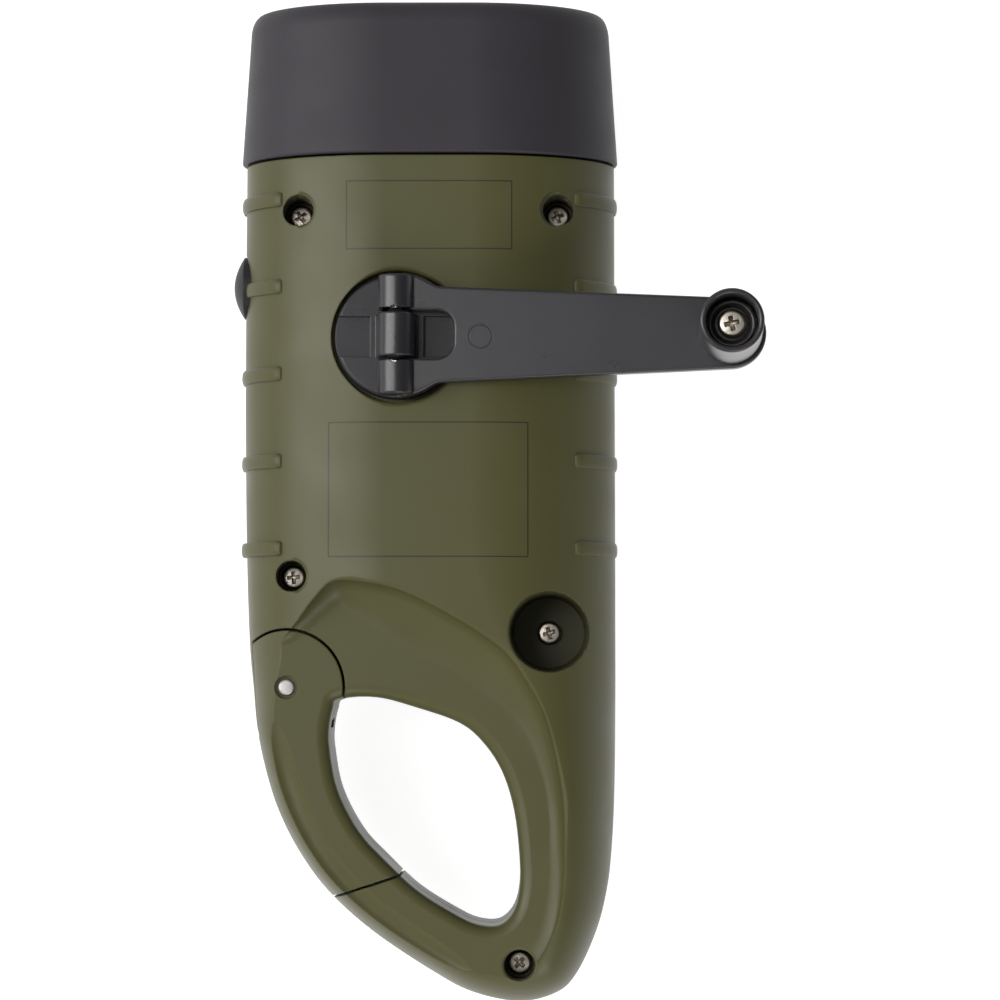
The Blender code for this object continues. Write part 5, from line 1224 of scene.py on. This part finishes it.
def make_lamp(materials):
    low = NECK_TOP_Y + GAP
    lens = along_y("lens_plate", full_section(NECK_INSET), low, low + LENS_THICKNESS, PANE_EDGE)
    dress(lens, materials["lens"], "case", "lens", "lens")
    back = NECK_TOP_Y - REFLECTOR_DEPTH
    dish = along_y("reflector_dish", full_section(NECK_INSET + NECK_WALL + GAP), back, NECK_TOP_Y)
    base = BOARD_Y + BOARD_THICKNESS + GAP / 2
    cup = [(0, NECK_TOP_Y + OVERRUN), (CUP_RADIUS, NECK_TOP_Y + OVERRUN)]
    for step in range(CUP_STEPS + 1):
        share = 1 - step / CUP_STEPS
        radius = CUP_HOLE_RADIUS + (CUP_RADIUS - CUP_HOLE_RADIUS) * share**CUP_FULLNESS
        cup.append((radius, back + WALL + (REFLECTOR_DEPTH - WALL) * share))
    cup += [(CUP_HOLE_RADIUS, back - OVERRUN), (0, back - OVERRUN)]
    bulb = [(0, base + LED_HEIGHT)]
    for step in range(1, LED_STEPS + 1):
        angle = math.pi / 2 * (1 - step / LED_STEPS)
        height = base + LED_HEIGHT - LED_RADIUS + LED_RADIUS * math.sin(angle)
        bulb.append((LED_RADIUS * math.cos(angle), height))
    bulb += [
        (LED_RADIUS, base + LED_FLANGE_HEIGHT),
        (LED_FLANGE_RADIUS, base + LED_FLANGE_HEIGHT),
        (LED_FLANGE_RADIUS, base),
        (0, base),
    ]
    for index, side in enumerate((-1, 0, 1)):
        place = shift(side * CUP_PITCH, 0, MID_Z) @ spin(-math.pi / 2, "X")
        cut(dish, turned(f"cup_{index}", cup, place, CUP_SIDES))
        led = turned(f"led_lamp_{index + 1}", bulb, place, PIN_SIDES)
        dress(led, materials["led"], "case", "led", f"led_{index + 1}")
    dress(dish, materials["reflector"], "case", "reflector", "reflector")


# Crank


def hinge_place():
    return shift(HUB_X, HUB_Y, HINGE_Z) @ spin(-ARM_RAISE, "Y")


def make_hub(materials):
    shaft_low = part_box("crank_hub")[0].z
    profile = [
        (0, HUB_TOP_Z, 0),
        (HUB_RADIUS, HUB_TOP_Z, HUB_EDGE),
        (HUB_RADIUS, WELL_Z + GAP, GAP / 2),
        (SHAFT_RADIUS, WELL_Z + GAP, 0),
        (SHAFT_RADIUS, shaft_low, GAP / 2),
        (0, shaft_low, 0),
    ]
    place = shift(HUB_X, HUB_Y)
    hub = turned("hub", rounded(profile, closed=False, steps=EDGE_STEPS), place, WELL_SIDES)
    for side in (1, -1):
        ends = sorted((HUB_X + side * LUG_FOOT / 2, HUB_X + side * (HUB_RADIUS + OVERRUN)))
        half = CHANNEL_WIDTH / 2
        low = (ends[0], HUB_Y - half, HUB_TOP_Z - CHANNEL_DEPTH)
        cut(hub, block(f"channel_{side}", low, (ends[1], HUB_Y + half, HUB_TOP_Z + OVERRUN)))
    foot_z = HUB_TOP_Z - CHANNEL_DEPTH - HINGE_Z
    waist_z = foot_z * LUG_WAIST_SHARE
    outline = arc(0, 0, BARREL_RADIUS, 0, math.pi, 2 * FINE_STEP)
    outline += rounded(
        [
            (-BARREL_RADIUS, 0, 0),
            (-BARREL_RADIUS, waist_z, LUG_WAIST_ROUNDING),
            (-LUG_FOOT / 2, foot_z, 0),
            (-LUG_FOOT / 2, foot_z - GAP, 0),
            (LUG_FOOT / 2, foot_z - GAP, 0),
            (LUG_FOOT / 2, foot_z, 0),
            (BARREL_RADIUS, waist_z, LUG_WAIST_ROUNDING),
            (BARREL_RADIUS, 0, 0),
        ],
        closed=False,
    )[1:-1]
    axis = shift(HUB_X, HUB_Y, HINGE_Z)
    turn = axis @ spin(-math.pi / 2, "X")
    lug = pad("lug", [(x, -z) for x, z in outline], -LUG_WIDTH / 2, LUG_WIDTH / 2, LUG_EDGE, place=turn)
    join(hub, lug)
    for side in (1, -1):
        dome = [(NUB_RADIUS * share, NUB_HEIGHT * math.cos(math.pi / 2 * share)) for share in NUB_SHARES]
        dome += [(NUB_RADIUS, -NUB_SINK), (0, -NUB_SINK)]
        out = shift(HUB_X, HUB_Y + side * LUG_WIDTH / 2, HINGE_Z + NUB_RISE)
        nub = turned(f"nub_{side}", dome, out @ spin(-side * math.pi / 2, "X"), BORE_SIDES)
        join(hub, nub)
    pin_hole = rod("hub_pin_hole", HINGE_PIN_RADIUS + FIT, -HUB_RADIUS, HUB_RADIUS, turn, BORE_SIDES)
    screw_hole = rod(
        "hub_screw_hole", SCREW_SHANK_RADIUS + FIT, shaft_low - OVERRUN,
        shaft_low + DOCK_SCREW_LENGTH + GAP, place, BORE_SIDES,
    )
    cut(hub, pin_hole, screw_hole)
    return dress(hub, materials["crank"], "crank", "crank", "crank_hub")


def arm_outline():
    """The arm's plan about the hinge: a round root, a fillet, a tapering blade, a round end."""
    root_half = ARM_ROOT_WIDTH / 2
    lift = root_half + ARM_BLEND
    blend_x = math.sqrt((HUB_RADIUS + ARM_BLEND) ** 2 - lift**2)
    blend_turn = math.atan2(lift, blend_x)
    slope = math.atan2(root_half - ARM_END_RADIUS, ARM_REACH - blend_x)
    end_turn = math.pi / 2 - slope
    root = arc(0, 0, HUB_RADIUS, math.pi / 2, blend_turn)
    blend = arc(blend_x, lift, ARM_BLEND, blend_turn - math.pi, -math.pi / 2 - slope, 2 * FINE_STEP)
    end = arc(ARM_REACH, 0, ARM_END_RADIUS, end_turn, -end_turn)
    upper = root + blend[1:]
    return upper + end + mirrored(upper)[len(upper):]


def slot_outline():
    half = ARM_SLOT_WIDTH / 2
    points = mirrored([(-HUB_RADIUS, half, 0), (ARM_SLOT_REACH, half, ARM_SLOT_CORNER)])
    return rounded(points, closed=False, steps=CORNER_STEPS)


def make_arm(materials):
    place = hinge_place()
    arm = pad("arm", arm_outline(), ARM_RISE - ARM_THICKNESS, ARM_RISE, ARM_EDGE, place=place)
    on_y = place @ spin(math.pi / 2, "X")
    barrel = rod(
        "barrel", BARREL_RADIUS, -HUB_RADIUS + GAP, HUB_RADIUS - GAP, on_y, BARREL_SIDES, ARM_EDGE
    )
    post_place = place @ shift(ARM_REACH, 0)
    post = rod("post", POST_RADIUS, 0, ARM_RISE + POST_HEIGHT, post_place)
    join(arm, barrel, post)
    levels = mouth_levels(-HUB_RADIUS, ARM_RISE, HUB_RADIUS, ARM_SLOT_FLARE)
    slot = stack("arm_slot", slot_outline(), levels, place)
    screw_hole = rod(
        "arm_screw_hole", SCREW_SHANK_RADIUS + FIT,
        ARM_RISE + POST_HEIGHT - DOCK_SCREW_LENGTH - GAP, ARM_RISE + POST_HEIGHT + OVERRUN,
        post_place, BORE_SIDES,
    )
    pin_radius = HINGE_PIN_RADIUS + FIT
    recess_radius = NUB_RISE + NUB_RADIUS * NUB_CLEARANCE_SHARE
    recess_reach = ARM_SLOT_WIDTH / 2 + NOTCH_BITE
    profile = mirrored([
        (0, HUB_RADIUS),
        (pin_radius, HUB_RADIUS),
        (pin_radius, recess_reach),
        (recess_radius, recess_reach),
    ])
    bore = turned("hinge_bore", profile, on_y @ spin(BORE_TURN, "Z"), SCREW_SIDES)
    cut(arm, slot)
    cut(arm, screw_hole)
    cut(arm, bore)
    for side in (1, -1):
        notch = rod(
            f"notch_{side}", NOTCH_RADIUS, 0, BARREL_RADIUS + OVERRUN,
            place @ shift(0, side * (recess_reach - NOTCH_RADIUS - FIT)),
            NOTCH_SIDES,
        )
        cut(arm, notch)
    outer, inner = EJECTOR_RADIUS + EJECTOR_DEPTH, EJECTOR_RADIUS - EJECTOR_DEPTH
    top, bottom = ARM_RISE + OVERRUN, ARM_RISE - EJECTOR_DEPTH
    profile = [(outer, top), (outer, bottom), (inner, bottom), (inner, top)]
    mark_place = place @ shift(EJECTOR_X, EJECTOR_Y)
    cut(arm, turned("ejector_mark", profile, mark_place, PIN_SIDES, closed=True))
    return dress(arm, materials["crank"], "arm", "crank", "crank_arm")


def make_knob(materials):
    place = hinge_place() @ shift(ARM_REACH, 0, KNOB_BASE_HEIGHT)
    shoulder = POST_HEIGHT - GAP / 2
    bore = POST_RADIUS + FIT
    profile = [
        (KNOB_BORE_RADIUS, KNOB_LENGTH, KNOB_LIP),
        (KNOB_RADIUS, KNOB_LENGTH, KNOB_LIP),
        (KNOB_RADIUS, 0, KNOB_EDGE),
        (bore, 0, 0),
        (bore, shoulder - WALL, 0),
        (KNOB_BORE_RADIUS, shoulder - WALL, 0),
    ]
    knob = turned("grip_knob", rounded(profile, steps=EDGE_STEPS), place, KNOB_SIDES, closed=True)
    dress(knob, materials["crank"], "knob", "crank", "knob")
    end = hinge_place() @ shift(ARM_REACH, 0, ARM_RISE + POST_HEIGHT)
    collar = [
        (COLLAR_RADIUS, FIT, 0),
        (COLLAR_RADIUS, COLLAR_HEIGHT, COLLAR_EDGE),
        (COLLAR_RIM_RADIUS, COLLAR_HEIGHT, COLLAR_EDGE),
        (COLLAR_BORE_RADIUS, FIT, 0),
    ]
    ring = turned("knob_collar", rounded(collar, steps=COLLAR_STEPS), end, ROUND_SIDES, closed=True)
    # The collar wears the lighter copy of the crank's finish, a painted highlight on its rim
    dress(ring, materials["collar"], "arm", "crank")
    screw = screw_solid(
        "knob_fixing", end @ shift(0, 0, FIT), DOCK_SCREW_LENGTH,
        KNOB_SCREW_TURN, KNOB_SCREW_HEAD_RADIUS,
    )
    dress(screw, materials["steel"], "arm", "steel", "knob_screw")


# Screws, gate, button and panel


def screw_solid(name, place, length, turn, head_radius=SCREW_HEAD_RADIUS):
    """A flat pan head with a wide cross recess, on its shank."""
    flat = head_radius * SCREW_FLAT_SHARE
    side = SCREW_HEAD_HEIGHT * SCREW_SIDE_SHARE
    profile = [(0, SCREW_HEAD_HEIGHT)]
    profile += [
        (flat + (head_radius - flat) * (1 - inset), side + (SCREW_HEAD_HEIGHT - side) * (1 - drop))
        for drop, inset in quarter()
    ]
    profile += [
        (head_radius, 0),
        (SCREW_SHANK_RADIUS, 0),
        (SCREW_SHANK_RADIUS, -length + GAP),
        (SCREW_SHANK_RADIUS * SCREW_TIP_SHARE, -length),
        (0, -length),
    ]
    place = place @ spin(turn, "Z")
    screw = turned(name, profile, place, SCREW_SIDES)
    for index in range(2):
        arms = place @ spin(math.pi / 2 * index, "Z")
        rings = []
        for reach_share, width_share, depth in CROSS_LEVELS:
            reach, half = head_radius * reach_share, head_radius * width_share
            corners = ((reach, half), (-reach, half), (-reach, -half), (reach, -half))
            z = SCREW_HEAD_HEIGHT - depth
            rings.append([tuple(arms @ Vector((x, y, z))) for x, y in corners])
        cut(screw, loft(f"{name}_recess_{index}", rings))
    return screw


def make_screws(materials):
    for name, x, y, seat, length, turn in CASE_SCREWS:
        screw = screw_solid(f"{name}_fine", shift(x, y, seat + FIT), length, turn)
        dress(screw, materials["steel"], "case", "steel", name)


def make_gate(materials):
    gate = case_form("gate_lever", -SECTION_STEPS, SECTION_STEPS)
    for side in (1, -1):
        cut(gate, scoop_cutter(f"gate_scoop_{side}", side))
        cut(gate, valley_cutter(f"gate_valley_{side}", side))
    cut(gate, eye_cutter("gate_eye"))
    plan = pad("gate_plan", gate_outline(0), -OVERRUN, THICKNESS + OVERRUN)
    combine(gate, "INTERSECT", plan)
    place = shift(PIN_X, PIN_Y)
    half_slot = TONGUE_HEIGHT / 2 + GAP
    slot = rod(
        "gate_slot", GATE_HEAD_RADIUS + GATE_GAP, MID_Z - half_slot, MID_Z + half_slot, place,
        WELL_SIDES,
    )
    hole = rod("gate_hole", GATE_PIN_RADIUS + FIT, -OVERRUN, THICKNESS + OVERRUN, place, BORE_SIDES)
    cut(gate, slot, hole)
    for side in (1, -1):
        face = MID_Z + side * (HALF_THICKNESS - PLATEAU_DEPTH)
        low, high = sorted((face - side * PIN_RECESS_DEPTH, face + side * OVERRUN))
        cut(gate, rod(f"pin_recess_{side}", PIN_RECESS_RADIUS, low, high, place, PIN_SIDES))
    dress(gate, materials["front_case"], "gate", "case", "gate")
    reach = HALF_THICKNESS - PLATEAU_DEPTH - GATE_PIN_SINK
    pin = rod(
        "gate_pivot", GATE_PIN_RADIUS, MID_Z - reach, MID_Z + reach, place, PIN_SIDES,
        GATE_PIN_EDGE,
    )
    dress(pin, materials["pin"], "case", "steel", "gate_pin")


def make_button(materials):
    flange = HALF_WIDTH - WALL - GAP
    tip = HALF_WIDTH + BUTTON_PROUD
    stem_end = flange - BUTTON_FLANGE_THICKNESS - BUTTON_STEM_LENGTH
    profile = [
        (BUTTON_RADIUS * step / BUTTON_STEPS, tip - BUTTON_DOME * (step / BUTTON_STEPS) ** 2, 0)
        for step in range(BUTTON_STEPS)
    ]
    profile += [
        (BUTTON_RADIUS, tip - BUTTON_DOME, BUTTON_EDGE),
        (BUTTON_RADIUS, flange, 0),
        (BUTTON_RADIUS + BUTTON_FLANGE_WIDTH, flange, 0),
        (BUTTON_RADIUS + BUTTON_FLANGE_WIDTH, flange - BUTTON_FLANGE_THICKNESS, 0),
        (BUTTON_STEM_RADIUS, flange - BUTTON_FLANGE_THICKNESS, 0),
        (BUTTON_STEM_RADIUS, stem_end, 0),
        (0, stem_end, 0),
    ]
    place = shift(0, BUTTON_Y, MID_Z) @ spin(-math.pi / 2, "Y")
    button = turned("button_cap", rounded(profile, closed=False), place, ROUND_SIDES)
    dress(button, materials["button"], "button", "button", "power_button")


def make_window(materials):
    width = PANEL_WIDTH - 2 * (PANEL_RIM + GAP)
    length = PANEL_LENGTH - 2 * (PANEL_RIM + GAP)
    outline = rounded_rectangle(0, PANEL_Y, width, length, PANEL_CORNER / 2)
    window = pad("window_pane", outline, 0, WINDOW_THICKNESS, PANE_EDGE)
    dress(window, materials["window"], "case", "window", "solar_window")


def dress_nodes(materials):
    """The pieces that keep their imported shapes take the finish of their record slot."""
    for row in frame["record"]["subparts"]:
        node = frame["nodes"][row["node"]]
        if node.hide_render:
            continue
        for slot in node.material_slots:
            slot.material = materials[row["material_slot"]]


# Stage


def add_floor():
    build = bmesh.new()
    bmesh.ops.create_grid(build, x_segments=1, y_segments=1, size=FLOOR_SIZE / 2)
    floor = new_object("floor", build)
    floor.location.z = FLOOR_Z
    material = bpy.data.materials.new("floor")
    material.use_nodes = True
    tree = material.node_tree
    feed(tree, tree.nodes["Principled BSDF"], {
        "Base Color": (FLOOR_SHADE, FLOOR_SHADE, FLOOR_SHADE),
        "Roughness": FLOOR_ROUGHNESS,
        "Specular IOR Level": FLOOR_SPECULAR,
        "Emission Color": (1, 1, 1),
        "Emission Strength": calculate(tree, "MULTIPLY", seen_straight(tree), FLOOR_GLOW),
    })
    floor.data.materials.append(material)


def seen_straight(tree):
    """One for rays from the camera, a reflection or a pane of glass, and zero for others."""
    path = node_of(tree, "ShaderNodeLightPath").outputs
    seen = calculate(tree, "MAXIMUM", path["Is Camera Ray"], path["Is Glossy Ray"])
    return calculate(tree, "MAXIMUM", seen, path["Is Transmission Ray"])


def add_lamp(name, place, aim, size, power):
    data = bpy.data.lights.new(name, "AREA")
    data.shape = "RECTANGLE"
    data.size, data.size_y = size
    data.energy = power
    lamp = bpy.data.objects.new(name, data)
    lamp.location = place
    lamp.rotation_euler = (Vector(aim) - Vector(place)).to_track_quat("-Z", "Y").to_euler()
    bpy.context.scene.collection.objects.link(lamp)


def add_light():
    """A plain studio: pale walls, a ceiling that is bright on the left, and soft lamps."""
    world = bpy.data.worlds.new("studio")
    bpy.context.scene.world = world
    world.use_nodes = True
    tree = world.node_tree
    ways = node_of(tree, "ShaderNodeTexCoord").outputs["Generated"]
    way = node_of(tree, "ShaderNodeSeparateXYZ", {0: ways}).outputs
    across_light = spread(tree, way["X"], WALL_LIGHT, CEILING_LIGHT, -1.0, CEILING_START)
    edge = spread(tree, way["X"], 1.0, CEILING_DARK_SHARE, *CEILING_EDGE)
    ceiling = calculate(tree, "MULTIPLY", across_light, edge)
    height = calculate(tree, "ABSOLUTE", way["Z"])
    walls = spread(tree, height, WALL_LIGHT, 0.0, *WALL_FADE)
    feed(tree, tree.nodes["Background"], {
        "Color": (1, 1, 1), "Strength": calculate(tree, "MAXIMUM", walls, ceiling)
    })
    for name, place, aim, size, power in LAMPS:
        add_lamp(name, place, aim, size, power)


def add_camera():
    data = bpy.data.cameras.new("camera")
    data.sensor_width = SENSOR_MM
    data.lens = LENS_MM
    data.clip_start = CLIP_START
    camera = bpy.data.objects.new("camera", data)
    bpy.context.scene.collection.objects.link(camera)
    place = Vector((CAMERA_X, CAMERA_Y, MID_Z + CAMERA_HEIGHT))
    back = (place - Vector((AIM_X, AIM_Y, MID_Z))).normalized()
    right = Vector((0, 1, 0)).cross(back).normalized()
    facing = Matrix((right, back.cross(right), back)).transposed().to_4x4()
    camera.matrix_world = Matrix.Translation(place) @ facing
    bpy.context.scene.camera = camera


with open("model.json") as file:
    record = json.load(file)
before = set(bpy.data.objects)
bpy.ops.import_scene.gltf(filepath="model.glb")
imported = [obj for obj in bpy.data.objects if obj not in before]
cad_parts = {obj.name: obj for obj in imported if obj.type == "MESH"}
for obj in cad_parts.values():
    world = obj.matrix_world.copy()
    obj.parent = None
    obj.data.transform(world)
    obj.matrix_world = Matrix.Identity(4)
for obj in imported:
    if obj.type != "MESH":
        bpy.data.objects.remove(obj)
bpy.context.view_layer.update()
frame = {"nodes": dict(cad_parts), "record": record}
bpy.context.scene.view_settings.view_transform = "Standard"

finishes = make_materials()
add_camera()
add_floor()
add_light()
make_rear_case(finishes)
make_front_case(finishes)
make_bumper(finishes)
make_lamp(finishes)
make_hub(finishes)
make_arm(finishes)
make_knob(finishes)
make_screws(finishes)
make_gate(finishes)
make_button(finishes)
make_window(finishes)
dress_nodes(finishes)

bpy.context.view_layer.update()
